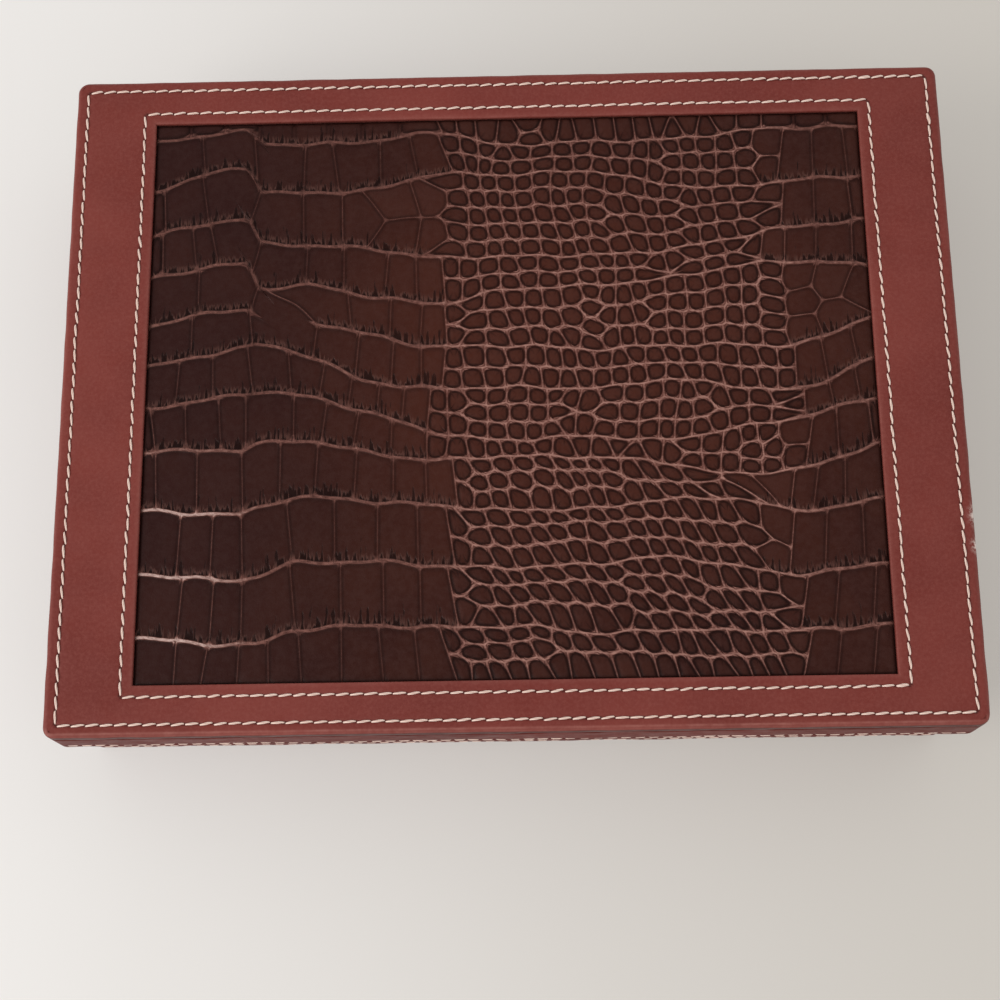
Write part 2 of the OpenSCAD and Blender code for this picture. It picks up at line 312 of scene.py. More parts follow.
# Crocodile-embossed calf, plated hot and then rubbed by hand: dark tops, ridges worn back to a paler
# red brown, paler at their crests as a painted highlight and palest in the panel's front left corner
# as a painted highlight of the window, short dark creases that run up from each strong ridge,
# semi-gloss. Its grain, some 0.2 mm, is drawn 0.6 mm across, so that it shows.
def croc_material(colours):
    made, tree, shader = blank_material("croc_embossed_calf")
    place = object_place(tree)
    ridge, rim, tone, foot, pale = stored_values(tree, "ridge", "rim", "tone", "foot", "pale")
    colour, mottle = scale_colour(tree, place, colours, tone, rim)
    hairs = add(tree, "ShaderNodeTexNoise", {
        "Vector": object_place(tree, 1, 0.16, 0.16), "Scale": 1 / (1.35 * MM)}, "Fac")
    reach = patches(tree, object_place(tree, 1, 0.3, 1), 4.2, 2, 0.6, 0.35, 0.65, 0.004, 0.0125)
    level = weighted_sum(tree, (hairs, 1.0), (foot, -0.045), (reach, 1.0))
    creased = add(tree, "ShaderNodeMapRange", {
        "Value": level, "From Min": 0.38, "From Max": 0.5}, "Result", **EASED)
    uncreased = add(tree, "ShaderNodeMath", {0: 1.0, 1: creased}, 0, operation="SUBTRACT")
    beside = add(tree, "ShaderNodeMapRange", {
        "Value": level, "From Min": 0.3, "From Max": 0.38}, "Result", **EASED)
    near = add(tree, "ShaderNodeMapRange", {
        "Value": foot, "From Min": 1.2, "From Max": 4.0, "To Min": 1.0, "To Max": 0.0}, "Result", **EASED)
    colour = stain(tree, colour, "#150807", creased, 0.68)
    colour = stain(tree, colour, "#6a473f", beside, near, uncreased, 0.45)
    strand = patches(tree, object_place(tree, 0.45, 1, 1), 0.9, 3, 0.6, 0.36, 0.62, 0.55)
    rubbed = add(tree, "ShaderNodeMapRange", {
        "Value": ridge, "From Min": 0.08, "From Max": 0.75}, "Result", **EASED)
    crest = add(tree, "ShaderNodeMapRange", {
        "Value": ridge, "From Min": 0.55, "From Max": 0.95}, "Result", **EASED)
    colour = stain(tree, colour, colours.ridge, rubbed, strand)
    # Paler still at the crests of the ridges: a painted highlight
    colour = stain(tree, colour, "#bd9084", crest, strand, 0.55)
    wrinkles = add(tree, "ShaderNodeTexNoise", {
        "Vector": object_place(tree, 1, 0.35, 1), "Scale": 1 / (1.6 * MM), "Detail": 5,
        "Roughness": 0.7}, "Fac")
    join(tree, shader, {
        # Palest on the crests in the front left corner: a painted highlight
        "Base Color": stain(tree, colour, "#cdb3ac", crest, strand, pale, 0.8),
        "Roughness": add(tree, "ShaderNodeMapRange", {
            "Value": mottle, "To Min": 0.36, "To Max": 0.5}, "Result", **EASED),
        "Specular IOR Level": 0.14,
        "Normal": grain(tree, place, 0.6, 0.7, (creased, -2.4), (wrinkles, 0.9))})
    return made


# Waxed linen thread, two strands laid together: cream, slightly glossy, with a painted shade between the
# strands.
# Its fibres are finer than a pixel and are drawn 0.35 mm across.
def thread_material(colours):
    made, tree, shader = blank_material("waxed_linen_thread")
    tone, lay = stored_values(tree, "tone", "lay")
    share, normal = fibres(tree, 0.35, 3, 0.7, 0.0, (0.3, 0.7, 0.35), 0.4, 0.06)
    colour = stain(tree, linear(colours.thread), "#dbb9a9", share)
    colour = stain(tree, colour, "#f7e8de", tone, 0.25)
    join(tree, shader, {
        # A painted shade between the strands
        "Base Color": stain(tree, colour, "#a77f70", lay, 0.5),
        "Roughness": 0.55, "Sheen Weight": 0.2, "Normal": normal})
    return made


# Pigskin suede: matt, with a short nap that catches the light in patches. The nap is drawn 0.5 mm long.
def suede_material(colours):
    made, tree, shader = blank_material("pigskin_suede")
    nap = patches(tree, object_place(tree), 14, 5, 0.62, 0.35, 0.65)
    share, normal = fibres(tree, 0.5, 3, 0.75, 0.0, (0.3, 0.7, 0.4), 0.6, 0.15)
    colour = stain(tree, linear(colours.suede), "#94704d", nap)
    join(tree, shader, {
        "Base Color": stain(tree, colour, "#c7a27b", share),
        "Roughness": 0.92, "Specular IOR Level": 0.2, "Sheen Weight": 0.35, "Sheen Roughness": 0.5,
        "Normal": normal})
    return made


# Pressed board or card: matt, grey-brown, with short fibres lying all ways
def board_material(name, pale, dark):
    made, tree, shader = blank_material(name)
    cloud = patches(tree, object_place(tree), 12, 4, 0.6, 0.3, 0.7)
    share, normal = fibres(tree, 0.8, 4, 0.8, 1.5, (0.55, 0.75, 0.5), 0.4, 0.1)
    colour = stain(tree, linear(pale), dark, cloud)
    join(tree, shader, {
        "Base Color": stain(tree, colour, "#6d5a42", share), "Roughness": 0.9, "Normal": normal})
    return made


# Pressed wool felt: matt, dark, a tangle of fibres
def felt_material():
    made, tree, shader = blank_material("pressed_wool_felt")
    cloud = patches(tree, object_place(tree), 9, 3, 0.6, 0.3, 0.7)
    share, normal = fibres(tree, 0.9, 5, 0.8, 2.0, (0.5, 0.8, 0.6), 0.8, 0.25)
    colour = stain(tree, linear("#37271f"), "#43302a", cloud)
    join(tree, shader, {
        "Base Color": stain(tree, colour, "#5d473c", share),
        "Roughness": 1.0, "Sheen Weight": 0.3, "Normal": normal})
    return made


# Painted desk top, sprayed and matt: near white, with a painted shade that darkens it towards the
# right, and a faint glow that stands for the light of the room and fades towards the right too
def desk_material(colours):
    made, tree, shader = blank_material("painted_desk")
    place = object_place(tree)
    # A painted shade, darker towards the right, in both the colour and the glow
    across = add(tree, "ShaderNodeSeparateXYZ", {0: place}, "X")
    shade_to_right = add(tree, "ShaderNodeMapRange", {
        "Value": across, "From Min": -0.3, "From Max": 0.25}, "Result", **EASED)
    cloud = patches(tree, place, 220, 2, 0.5, 0.3, 0.7, 0.0, 0.35)
    colour = stain(tree, linear(colours.floor), "#b4b1ad", cloud)
    join(tree, shader, {
        "Base Color": stain(tree, colour, "#a09c96", shade_to_right),
        "Roughness": 0.6,
        "Emission Color": stain(tree, linear("#fbfafa"), "#dcd7d0", shade_to_right),
        "Emission Strength": 0.36})
    return made


def make_piece(name, points_mm, faces, material, attributes=None):
    """A smooth-shaded mesh object from points in millimetres, with point attributes."""
    mesh = bpy.data.meshes.new(name)
    mesh.from_pydata((np.asarray(points_mm) * MM).tolist(), [], faces)
    for key, values in (attributes or {}).items():
        stored = mesh.attributes.new(key, "FLOAT", "POINT")
        stored.data.foreach_set("value", np.asarray(values, np.float32))
    mesh.polygons.foreach_set("use_smooth", np.ones(len(mesh.polygons), bool))
    mesh.materials.append(material)
    mesh.update()
    made = bpy.data.objects.new(name, mesh)
    bpy.context.scene.collection.objects.link(made)
    return made


def grid_faces(rows, cols, closed=False):
    """Quads of a grid of rows of cols points, each row a ring. closed joins the last row to the first.
    They face up where the rings run anticlockwise and each lies outside the one before."""
    r, c = np.meshgrid(np.arange(rows if closed else rows - 1), np.arange(cols), indexing="ij")
    n, below = (c + 1) % cols, (r + 1) % rows
    quads = np.stack([below * cols + c, below * cols + n, r * cols + n, r * cols + c], -1)
    return quads.reshape(-1, 4).tolist()


def hermite(at, xs, ys):
    """Smooth curve through (xs, ys), read at the places at: a cubic whose slope is nought at a
    highest or lowest point, so that it never swings past the points it goes through."""
    rise = np.diff(ys) / np.diff(xs)
    both = rise[:-1] * rise[1:]
    inner = np.where(both > 0, 2 * both / np.where(both > 0, rise[:-1] + rise[1:], 1), 0)
    slope = np.concatenate([rise[:1], inner, rise[-1:]])
    i = np.clip(np.searchsorted(xs, at) - 1, 0, len(xs) - 2)
    h = xs[i + 1] - xs[i]
    t = np.clip((at - xs[i]) / h, 0, 1)
    a = (1 + 2 * t) * (1 - t) ** 2 * ys[i] + t * (1 - t) ** 2 * h * slope[i]
    return a + t * t * (3 - 2 * t) * ys[i + 1] + t * t * (t - 1) * h * slope[i + 1]


def smooth(value, low, high):
    """Smooth step, 0 below low and 1 above high."""
    t = np.clip((value - low) / (high - low), 0, 1)
    return t * t * (3 - 2 * t)


def ripple(x, y, size, seed):
    """A soft random surface between about -1 and 1: a sum of waves size long in eight seeded directions."""
    rng = np.random.default_rng(seed)
    total = np.zeros(np.broadcast(x, y).shape)
    for turn, phase, stretch in rng.uniform(0, 1, (8, 3)):
        k = 2 * math.pi / (size * (0.6 + 0.9 * stretch))
        total += np.sin(k * (x * math.cos(2 * math.pi * turn) + y * math.sin(2 * math.pi * turn))
                        + 2 * math.pi * phase)
    return total / 3.2


# The embossing. Twelve rows run across the panel between strong ridges. The heights of the eleven
# ridges are in millimetres from the middle, at these distances from the middle.
RIDGE_X = np.array([-132, -97, -91, -75, -50, -25, 0, 30, 55, 80, 100, 132], float)
RIDGE_Y = np.array([
    [100, 104, 99, 98, 99, 102, 96, 97, 97, 99, 101, 101],
    [80, 89, 79, 78, 79, 85, 84, 85, 80, 77, 79, 81],
    [62, 68, 58, 57, 55, 51, 51, 51, 52, 56, 60, 63],
    [45, 50, 40, 41, 36, 33, 38, 39, 41, 45, 47, 45],
    [26, 32, 29, 27, 21, 16, 16, 14, 15, 15, 14, 25],
    [10, 17, 18, 14, 3, 0, 0, -1, 2, -1, -3, 9],
    [-6, -1, 0, -2, -9, -17, -20, -19, -21, -17, -14, -6],
    [-22, -22, -20, -19, -24, -27, -26, -27, -29, -34, -33, -23],
    [-44, -46, -44, -40, -42, -44, -46, -46, -43, -43, -48, -44],
    [-67, -70, -69, -64, -64, -66, -67, -66, -64, -68, -71, -67],
    [-90, -93, -93, -88, -87, -88, -88, -91, -90, -91, -91, -89]], float)
# Where the large scales of each row part, left of the small ones, as the places on the ridge above
# and on the ridge below. The last of a row is where its small scales begin.
LEFT_PARTS = [
    [(-119, -119), (-106, -106), (-93, -93), (-80, -80), (-67, -67), (-54, -54), (-40, -40), (-26, -24)],
    [(-114.5, -113), (-95, -93), (-75.5, -76), (-65.5, -62.5), (-47.5, -47), (-36.5, -33), (-26, -20)],
    [(-128, -127), (-114, -111), (-92, -95.5), (-76, -75.5), (-61.5, -61)],
    [(-128, -127.5), (-117, -115), (-110.5, -107), (-91.5, -94.5), (-74, -74.5), (-60.5, -60.5),
     (-44, -45.5), (-34, -33.5), (-24.5, -23)],
    [(-114, -114), (-92, -94.5), (-89.5, -70), (-59, -57.5), (-43, -43.5), (-31.5, -32.5), (-23.5, -22.5)],
    [(-116, -116), (-95, -93.5), (-70, -71.5), (-54.5, -56), (-42, -43), (-32, -32), (-23, -24.5)],
    [(-120, -121), (-108, -107.5), (-95.5, -93), (-80.5, -79), (-67, -69), (-57, -58.5), (-47, -48),
     (-38, -39), (-28.5, -30)],
    [(-130, -127.5), (-117.5, -116.5), (-105.5, -104), (-95.5, -95), (-78, -78), (-66, -68),
     (-54.5, -56.5), (-42.5, -43), (-30, -30)],
    [(-127.5, -126.5), (-112.5, -112), (-96.5, -95.5), (-82.5, -82.5), (-69, -70), (-55, -56),
     (-42, -42), (-30.5, -30), (-21, -19)],
    [(-117.5, -118.5), (-106, -106.5), (-96, -95), (-80, -77.5), (-63, -62.5), (-47.5, -47.5),
     (-33.5, -33), (-23.5, -20)],
    [(-116, -117.5), (-105, -106), (-95, -95), (-78.5, -76), (-60.5, -60), (-45.5, -45),
     (-32.5, -32), (-23, -19)],
    [(-117.5, -118), (-106.5, -108.5), (-95.5, -96), (-85.5, -85), (-75, -73.5), (-60, -59.5),
     (-47, -45), (-34.5, -32.5), (-26, -19.5)]]
# The same to the right of the small scales. The first of a row is where its small scales end.
RIGHT_PARTS = [
    [(96, 96), (108, 108), (120, 120)], [(104, 100.5), (114.5, 114), (126, 127)],
    [(103, 101), (114, 113.5), (126.5, 127.5)],
    [(102.5, 101.5), (114, 113), (127, 126.5)], [], [(103.5, 103.5), (113, 115), (124, 126)],
    [(106, 106), (115, 116.5), (124.5, 126)], [(108.5, 105), (117, 117), (128.5, 129.5)],
    [(101, 98.5), (109.5, 106.5), (119, 118)], [(100, 97), (111.5, 109.5), (124, 123.5)],
    [(103.5, 100), (114.5, 111.5), (127.5, 125)], [(104, 100), (114, 111.5), (126.5, 124)]]
# Odd scales among the small ones of a row: place, and share of the way down the row
ODD_SCALES = {
    2: [(-53.5, 0.5), (-40, 0.36), (-39, 0.66), (-27, 0.31), (-26.5, 0.72)],
    4: [(105.5, 0.17), (107, 0.5), (106.5, 0.83), (117.5, 0.3), (118.5, 0.74), (128.5, 0.45)]}
# Stretches in which a ridge is missing, because one scale reaches across two rows
MISSING = {5: (-92.5, -71.5)}
# The row and the stretch of it in which slanting edges between large scales are strong
SLANT_ROW = 4
SLANT_X = (-91, -68)
# The fold that crosses the rows at the back left
FOLD_X = -94
FOLD_W = 3.4

# Mean width and height of a small scale, and the areas under which a scale is small and over which
# it is large, in square millimetres
SMALL_W = 6.8
SMALL_H = 7.2
SCALE_AREA = (70, 110)

# Kinds of edge round a scale: the panel's edge, a strong ridge, an upright divider, any other
BORDER, RIDGE, UPRIGHT, OTHER = range(4)
# Distances between points: along the ridges, and along other edges of small and of large scales
LINE_STEP = 1.5
FINE_STEP = 1.3
COARSE_STEP = 2.0
# How far inside its outline each ring of a scale's points lies
LARGE_INSETS = [0, 0.35, 0.75, 1.3, 2.6]
SMALL_INSETS = [0, 0.22, 0.45, 0.75, 1.15, 1.7]
# How far the valleys between the ridges lie below the panel's solid
SINK = 0.32
# Distance under which two places are one, past which an edge has no effect, and of an edge that isn't
TOUCH = 1e-6
CLEAR = 9.0
NOWHERE = 30.0


def ridge_height(line, x):
    """Height of a ridge line at x, with line 0 the panel's back edge and the last line its front edge."""
    if line == 0:
        return np.full_like(x, WINDOW_D / 2)
    if line > len(RIDGE_Y):
        return np.full_like(x, -WINDOW_D / 2)
    wobble = 0.45 * np.sin(x / 5.1 + 2.3 * line) + 0.3 * np.sin(x / 2.7 + 1.1 * line)
    return hermite(x, RIDGE_X, RIDGE_Y[line - 1]) + wobble


def small_seeds(row, height, start, stop, rng):
    """Middles of a row's small scales: upright columns, each with as many scales as its height holds."""
    seeds = [(x, share * height) for x, share in ODD_SCALES.get(row, [])]
    odd = [x for x, _ in seeds]
    first, last = sum(start) / 2, sum(stop) / 2
    x = first + SMALL_W / 2
    while x < last - 2.4:
        tall = float(ridge_height(row, np.array([x]))[0] - ridge_height(row + 1, np.array([x]))[0])
        ends = min(x - first, last - x) < 9
        lines = max(int(round(tall / (1.35 * SMALL_H if ends else SMALL_H))), 1)
        free = not odd or x < min(odd) - 6 or x > max(odd) + 6
        for j in range(lines if free else 0):
            share = (j + 0.5 + rng.uniform(-0.08, 0.08)) / lines
            near_start = (start[0] + (start[1] - start[0]) * share - first) * max(0, 1 - (x - first) / 15)
            near_stop = (stop[0] + (stop[1] - stop[0]) * share - last) * max(0, 1 - (last - x) / 15)
            seeds.append((x + near_start + near_stop + rng.uniform(-1.7, 1.7), share * height))
        x += SMALL_W * rng.uniform(0.82, 1.2)
    return np.array(seeds), len(odd)


def cut_cell(seed, others, corners):
    """The part of a convex outline that is nearer to seed than to any other: cut by the middle line
    towards each neighbour in turn. Returns its corners."""
    for other in others:
        towards = other - seed
        limit = (other + seed) @ towards / 2
        far = max((math.hypot(c[0] - seed[0], c[1] - seed[1]) for c in corners), default=0)
        if np.hypot(*towards) > 2 * far:
            break
        kept = []
        for a, b in zip(corners, corners[1:] + corners[:1]):
            da = a[0] * towards[0] + a[1] * towards[1] - limit
            db = b[0] * towards[0] + b[1] * towards[1] - limit
            if da <= 0:
                kept.append(a)
            if (da < 0 < db) or (db < 0 < da):
                t = da / (da - db)
                kept.append((a[0] + t * (b[0] - a[0]), a[1] + t * (b[1] - a[1])))
        corners = kept
    return corners


def evened(seeds, fixed, spots):
    """Moves each seed after the fixed ones 0.7 of the way to the middle of the spots nearest to it."""
    near = ((spots[:, None, :] - seeds[None]) ** 2).sum(2).argmin(1)
    hits = np.maximum(np.bincount(near, minlength=len(seeds)), 1)[:, None]
    mean = np.stack([np.bincount(near, spots[:, k], len(seeds)) for k in (0, 1)], 1) / hits
    seeds[fixed:] += 0.7 * (mean - seeds)[fixed:]
    return seeds


def row_cells(row, height, rng):
    """Outlines of all scales of a row in its flat strip, height deep: large ones between the given
    partings, and small ones found as the nearest-middle cells in a leaning, narrowed measure."""
    half = WINDOW_W / 2
    left = [(-half, -half)] + LEFT_PARTS[row]
    right = RIGHT_PARTS[row] + [(half, half)]
    cells = []
    for run in (left, right):
        for (a, b), (c, d) in zip(run, run[1:]):
            cells.append([(a, 0.0), (c, 0.0), (d, height), (b, height)])
    start, stop = left[-1], right[0]
    narrow, lean = (0.78, 0.4) if row > 7 else (0.74, 0.1)
    seeds, fixed = small_seeds(row, height, start, stop, rng)
    u, w = np.meshgrid(np.arange(start[0] - 1, stop[0] + 1, 0.7), np.linspace(0, height, int(height / 0.7)))
    inside = (u > start[0] + (start[1] - start[0]) * w / height) & (
        u < stop[0] + (stop[1] - stop[0]) * w / height)
    spots = np.stack([narrow * (u - lean * w), w], -1)[inside]
    bent = np.stack([narrow * (seeds[:, 0] - lean * seeds[:, 1]), seeds[:, 1]], 1)
    bent = evened(bent, fixed, spots)
    ring = [(start[0], 0.0), (stop[0], 0.0), (stop[1], height), (start[1], height)]
    ring = [(narrow * (u - lean * w), w) for u, w in ring]
    on_start, on_stop, small = [], [], []
    for spot in bent:
        order = np.argsort(((bent - spot) ** 2).sum(1))[1:40]
        corners = [(u / narrow + lean * w, w) for u, w in cut_cell(spot, bent[order], ring)]
        if len(corners) < 3:
            continue
        small.append(corners)
        for u, w in corners:
            share = w / height
            if TOUCH < share < 1 - TOUCH:
                if abs(u - start[0] - (start[1] - start[0]) * share) < TOUCH:
                    on_start.append((u, w))
                if abs(u - stop[0] - (stop[1] - stop[0]) * share) < TOUCH:
                    on_stop.append((u, w))
    cells[len(left) - 2][2:2] = sorted(set(on_start), key=lambda c: c[1])
    if len(right) > 1:
        cells[len(left) - 1] += sorted(set(on_stop), key=lambda c: -c[1])
    return cells, small


def spaced(a, b, count):
    """Points from a to b in equal steps, b left out. They are worked out from the same end whichever
    way the edge runs, so that both scales beside it have the same ones."""
    first, last = (a, b) if a <= b else (b, a)
    steps = [(first[0] + (last[0] - first[0]) * i / count,
              first[1] + (last[1] - first[1]) * i / count) for i in range(count + 1)]
    return steps[:-1] if a <= b else steps[::-1][:-1]


def cell_outline(corners, height, along, among):
    """Points round a scale in its flat strip, and the kind of edge that follows each one. On a ridge
    the points are the ridge's own, in along, so that both rows share them. Elsewhere they lie
    FINE_STEP apart between the places in among, where the small scales are, and else COARSE_STEP."""
    points, kinds = [], []
    for a, b in zip(corners, corners[1:] + corners[:1]):
        length = math.hypot(b[0] - a[0], b[1] - a[1])
        if length < TOUCH:
            continue
        low, high = min(a[0], b[0]), max(a[0], b[0])
        flat = abs(a[1] - b[1]) < TOUCH
        if flat and (abs(a[1]) < TOUCH or abs(a[1] - height) < TOUCH):
            xs = along[0 if abs(a[1]) < TOUCH else 1]
            inner = xs[(xs > low + 1e-5) & (xs < high - 1e-5)]
            run = [a] + [(x, a[1]) for x in (inner if a[0] < b[0] else inner[::-1])]
            kind = RIDGE
        else:
            fine = low > among[0] - 0.01 and high < among[1] + 0.01
            run = spaced(a, b, max(int(math.ceil(length / (FINE_STEP if fine else COARSE_STEP))), 1))
            steep = high - low < 0.8 * abs(b[1] - a[1])
            on_border = high - low < TOUCH and abs(abs(a[0]) - WINDOW_W / 2) < TOUCH
            kind = BORDER if on_border else UPRIGHT if steep else OTHER
        points += run
        kinds += [kind] * len(run)
    return np.array(points), np.array(kinds)


def turn_distance(real, outline):
    """For each point, its distance to the second nearest side of a scale, where a side is a run of
    the outline that keeps its direction to within 25 degrees."""
    edge = np.roll(outline, -1, 0) - outline
    heading = np.arctan2(edge[:, 1], edge[:, 0])
    change = np.abs((heading - np.roll(heading, 1) + math.pi) % (2 * math.pi) - math.pi)
    side = np.cumsum(change > math.radians(25))
    side[side == side[-1]] = side[0] if change[0] <= math.radians(25) else side[-1]
    sides = [real[:, side == k].min(1) for k in np.unique(side)]
    if len(sides) < 2:
        return np.full(len(real), NOWHERE)
    return np.sort(np.stack(sides, 1), 1)[:, 1]


def front_left_highlight(x, y):
    """Strength of the painted highlight on the ridges: 1 in the panel's front left corner, 0 elsewhere."""
    return smooth(-x, 80, 118) * smooth(-y, 10, 50)


def ridge_lightness(x, y):
    """How pale the ridges are drawn: palest among the small scales, less to the left and right and
    towards the back, and paler again in the front left corner, where a painted highlight lies."""
    middle = smooth(x, -36, -10) * (1 - smooth(x, 92, 112))
    back = 1 - 0.12 * smooth(y, 20, 95)
    return np.minimum((0.66 + 0.3 * middle + 0.06 * smooth(x, 80, 100)) * back + 0.3 * front_left_highlight(x, y), 1.0)


def strip_height(row):
    """Mean distance between a row's two ridges, across the middle of the panel."""
    xs = RIDGE_X[4:10]
    return float(np.mean(ridge_height(row, xs) - ridge_height(row + 1, xs)))


def all_scales(rng):
    """The scales of every row in its flat strip, as (row, whether large, corners), the height of each
    strip, the places between which each row's scales are small, and the points along each ridge:
    LINE_STEP apart, and wherever a scale on either side has a corner."""
    half = WINDOW_W / 2
    rows = len(RIDGE_Y) + 1
    heights = [strip_height(row) for row in range(rows)]
    scales, among, corners_at = [], [], [[] for _ in range(rows + 1)]
    for row, height in enumerate(heights):
        large, small = row_cells(row, height, rng)
        among.append((min(LEFT_PARTS[row][-1]), max((RIGHT_PARTS[row] + [(half, half)])[0])))
        scales += [(row, True, c) for c in large] + [(row, False, c) for c in small]
        for x, y in (spot for c in large + small for spot in c):
            if abs(y) < TOUCH:
                corners_at[row].append(x)
            if abs(y - height) < TOUCH:
                corners_at[row + 1].append(x)
    along = []
    for line in corners_at:
        xs = np.unique(np.round(np.concatenate([np.arange(-half, half + 0.01, LINE_STEP), line]), 6))
        along.append(xs[np.concatenate([[True], np.diff(xs) > 1e-4])])
    return scales, heights, among, along


def on_panel(row, points, height):
    """Puts points of a row's flat strip where they lie on the panel. The share of the way down the
    strip is the share of the way from the ridge above to the ridge below, bent up round x = 22 and
    down round x = 70 in the front rows, and x is shifted by slow waves to the left of the middle."""
    x, share = points[:, 0], points[:, 1] / height
    high, low = ridge_height(row, x), ridge_height(row + 1, x)
    if row > 6:
        crest = np.exp(-((x - 22) / 26) ** 2) - 0.5 * np.exp(-((x - 70) / 20) ** 2)
        share = share - 0.1 * crest * np.sin(math.pi * share)
    y = high + (low - high) * share
    shift = 1.6 * np.sin(y / 19 + 0.6) + 0.7 * np.sin(y / 7.3 + x / 31)
    return np.stack([x + smooth(x, -18, 0) * smooth(-x, -92, -76) * shift, y], 1)


def ring_points(outline, area, insets):
    """Rings of points drawn in from an outline towards its middle, each inset mm from the nearer of
    the two edges that meet at the point, but never past the middle, and then the middle itself. area
    is twice the signed area of the triangle from the origin to each edge."""
    following = np.roll(outline, -1, 0)
    middle = ((outline + following) * area[:, None]).sum(0) / (3 * area.sum())
    edge = following - outline
    normal = np.stack([edge[:, 1], -edge[:, 0]], 1) / np.maximum(np.hypot(*edge.T), 1e-9)[:, None]
    reach = np.abs(((middle - outline) * normal).sum(1))
    reach = np.minimum(reach, np.roll(reach, 1))
    rings = []
    for k, inset in enumerate(insets):
        share = np.minimum(inset / np.maximum(reach, 0.3), 0.88 * k / len(insets))
        rings.append(outline + (middle - outline) * share[:, None])
    return np.vstack(rings + [middle[None]])


def edge_looks(row, large, small, flat, outline, kinds):
    """How each edge of a scale shows: its height as a share of the strongest ridge's, how far it is
    rubbed, the width of its slope in mm, and half the width of its flat top in mm. Strong ridges vary
    along their length to the left and right, are low in the fold round FOLD_X and even among the small
    scales. Dividers are fainter between large scales. small is 1 for a small scale and 0 for a large."""
    x = outline[:, 0]
    line, upright, other = kinds == RIDGE, kinds == UPRIGHT, kinds == OTHER
    among = smooth(x, -30, -14) * (1 - smooth(x, 92, 106))
    fold = np.exp(-((x - FOLD_X) / FOLD_W) ** 2) * (outline[:, 1] > -10)
    strand = 1 - 0.16 * (1 + np.sin(x * 0.7 + row + (flat[:, 1] > 1) * math.pi))
    on_line = (strand * (1 - 0.5 * fold)) * (1 - among) + 0.8 * among
    power = np.select([line, upright, other], [on_line, 0.26 + 0.3 * small, 0.76], 0.0)
    tint = np.select([line, upright, other], [0.95 - 0.35 * fold, 0.52 + 0.16 * small, 0.92], 0.0)
    if not large:
        tint = np.where(upright | other, np.maximum(tint, 0.72), tint)
    step = np.abs(np.roll(outline, -1, 0) - outline)
    slant = (row == SLANT_ROW) & (upright | other) & (x > SLANT_X[0]) & (x < SLANT_X[1])
    slant &= step[:, 0] > 0.6 * step[:, 1]
    power, tint = np.where(slant, 0.75, power), np.where(slant, 0.9, tint)
    faint = large & upright & (row == 0)
    power, tint = np.where(faint, 0.04, power), np.where(faint, 0.0, tint)
    for gap, upper in ((row, True), (row + 1, False)):
        low, high = MISSING.get(gap, (0, 0))
        hidden = line & ((flat[:, 1] < TOUCH) == upper) & (x > low) & (x < high)
        power, tint = np.where(hidden, 0.0, power), np.where(hidden, 0.0, tint)
    width = np.select([line, upright], [0.4 * (1 - among) + 0.22 * among, 0.17], 0.19)
    top = np.where(line, 0.26 * (1 - among) + 0.07 * among, 0.05 * small)
    return power, tint, width, top


def foot_distance(row, small, spots):
    """Distance of points on a large scale from the strong ridge below it, up to CLEAR, which also
    stands for having none: on small scales, along the panel's edge and where the ridge is missing."""
    foot = spots[:, 1] - ridge_height(row + 1, spots[:, 0])
    foot = np.where((small > 0.5) | (row == len(RIDGE_Y)), CLEAR, np.clip(foot, 0, CLEAR))
    if row + 1 in MISSING:
        low, high = MISSING[row + 1]
        foot = np.where((spots[:, 0] > low - 1) & (spots[:, 0] < high + 1), CLEAR, foot)
    return foot


def scale_relief(row, small, spots, outline, kinds, looks, ridge_mm, seed):
    """Height and colour shares at the points of a scale. With d the distance to the nearest edge,
    less a little near a second one so that corners come out round, and w and c the slope's width and
    the flat top's half width, the ridge is H exp(-((d - c) / w)^2), blended over the edges nearby. A
    dome rises from 0.3 to 2.4 mm inside the outline, and the sheet sinks at the panel's edge."""
    x, y = spots.T
    edge = np.roll(outline, -1, 0) - outline
    away = spots[:, None, :] - outline[None]
    t = np.clip((away * edge[None]).sum(2) / np.maximum((edge ** 2).sum(1), 1e-12), 0, 1)
    d = np.hypot(*(away - t[..., None] * edge[None]).transpose(2, 0, 1))
    real = np.where(looks[0][None] > 0, d, NOWHERE)
    nearest, second = real.min(1), turn_distance(real, outline)
    bend = 0.4 + 0.55 * small
    least = nearest - 1.15 * bend * np.exp(-(second - nearest) / bend - nearest / 3)
    weight = (np.exp(-(real / 0.5) ** 2) + 1e-12) * (looks[0][None] + 0.01) ** 3
    weight = weight / weight.sum(1, keepdims=True)
    power, tint, width, top = [(weight * look[None]).sum(1) for look in looks]
    on_top = least < top
    slope = np.exp(-((least - top) / width) ** 2)
    web = 1 - (0.85 - 0.25 * small) * smooth(nearest, 0.15, 0.4)
    # Paleness of the ridges, with a painted highlight in the front left corner
    pallor = tint * np.where(on_top, np.maximum(slope, web), slope) * ridge_lightness(x, y)
    pallor *= 1 + 0.14 * ripple(x, y * 2, 3.1, seed + 9)
    border = np.where(kinds[None] == BORDER, d, CLEAR).min(1)
    z = ridge_mm * (power * np.where(on_top, np.maximum(slope, 0.6), slope))
    z = z + smooth(least, 0.3, 2.4) * (0.14 + 0.26 * small) - SINK
    z += 0.05 * ripple(x, y, 5.5, seed)
    z -= 0.5 * np.exp(-(border / 0.7) ** 2)
    rim = np.exp(-((least - top - 0.7) / 0.45) ** 2) * (0.5 + 0.5 * small)
    rim = np.maximum(rim, (0.9 - 0.7 * small) * on_top * smooth(nearest, 0.2, 0.45))
    # A painted shadow of the border's lip, darkening the panel along its edge
    rim = np.maximum(rim, np.exp(-(border / 0.8) ** 2))
    return {"z": z, "ridge": np.clip(pallor, 0, 1), "rim": rim, "foot": foot_distance(row, small, spots)}


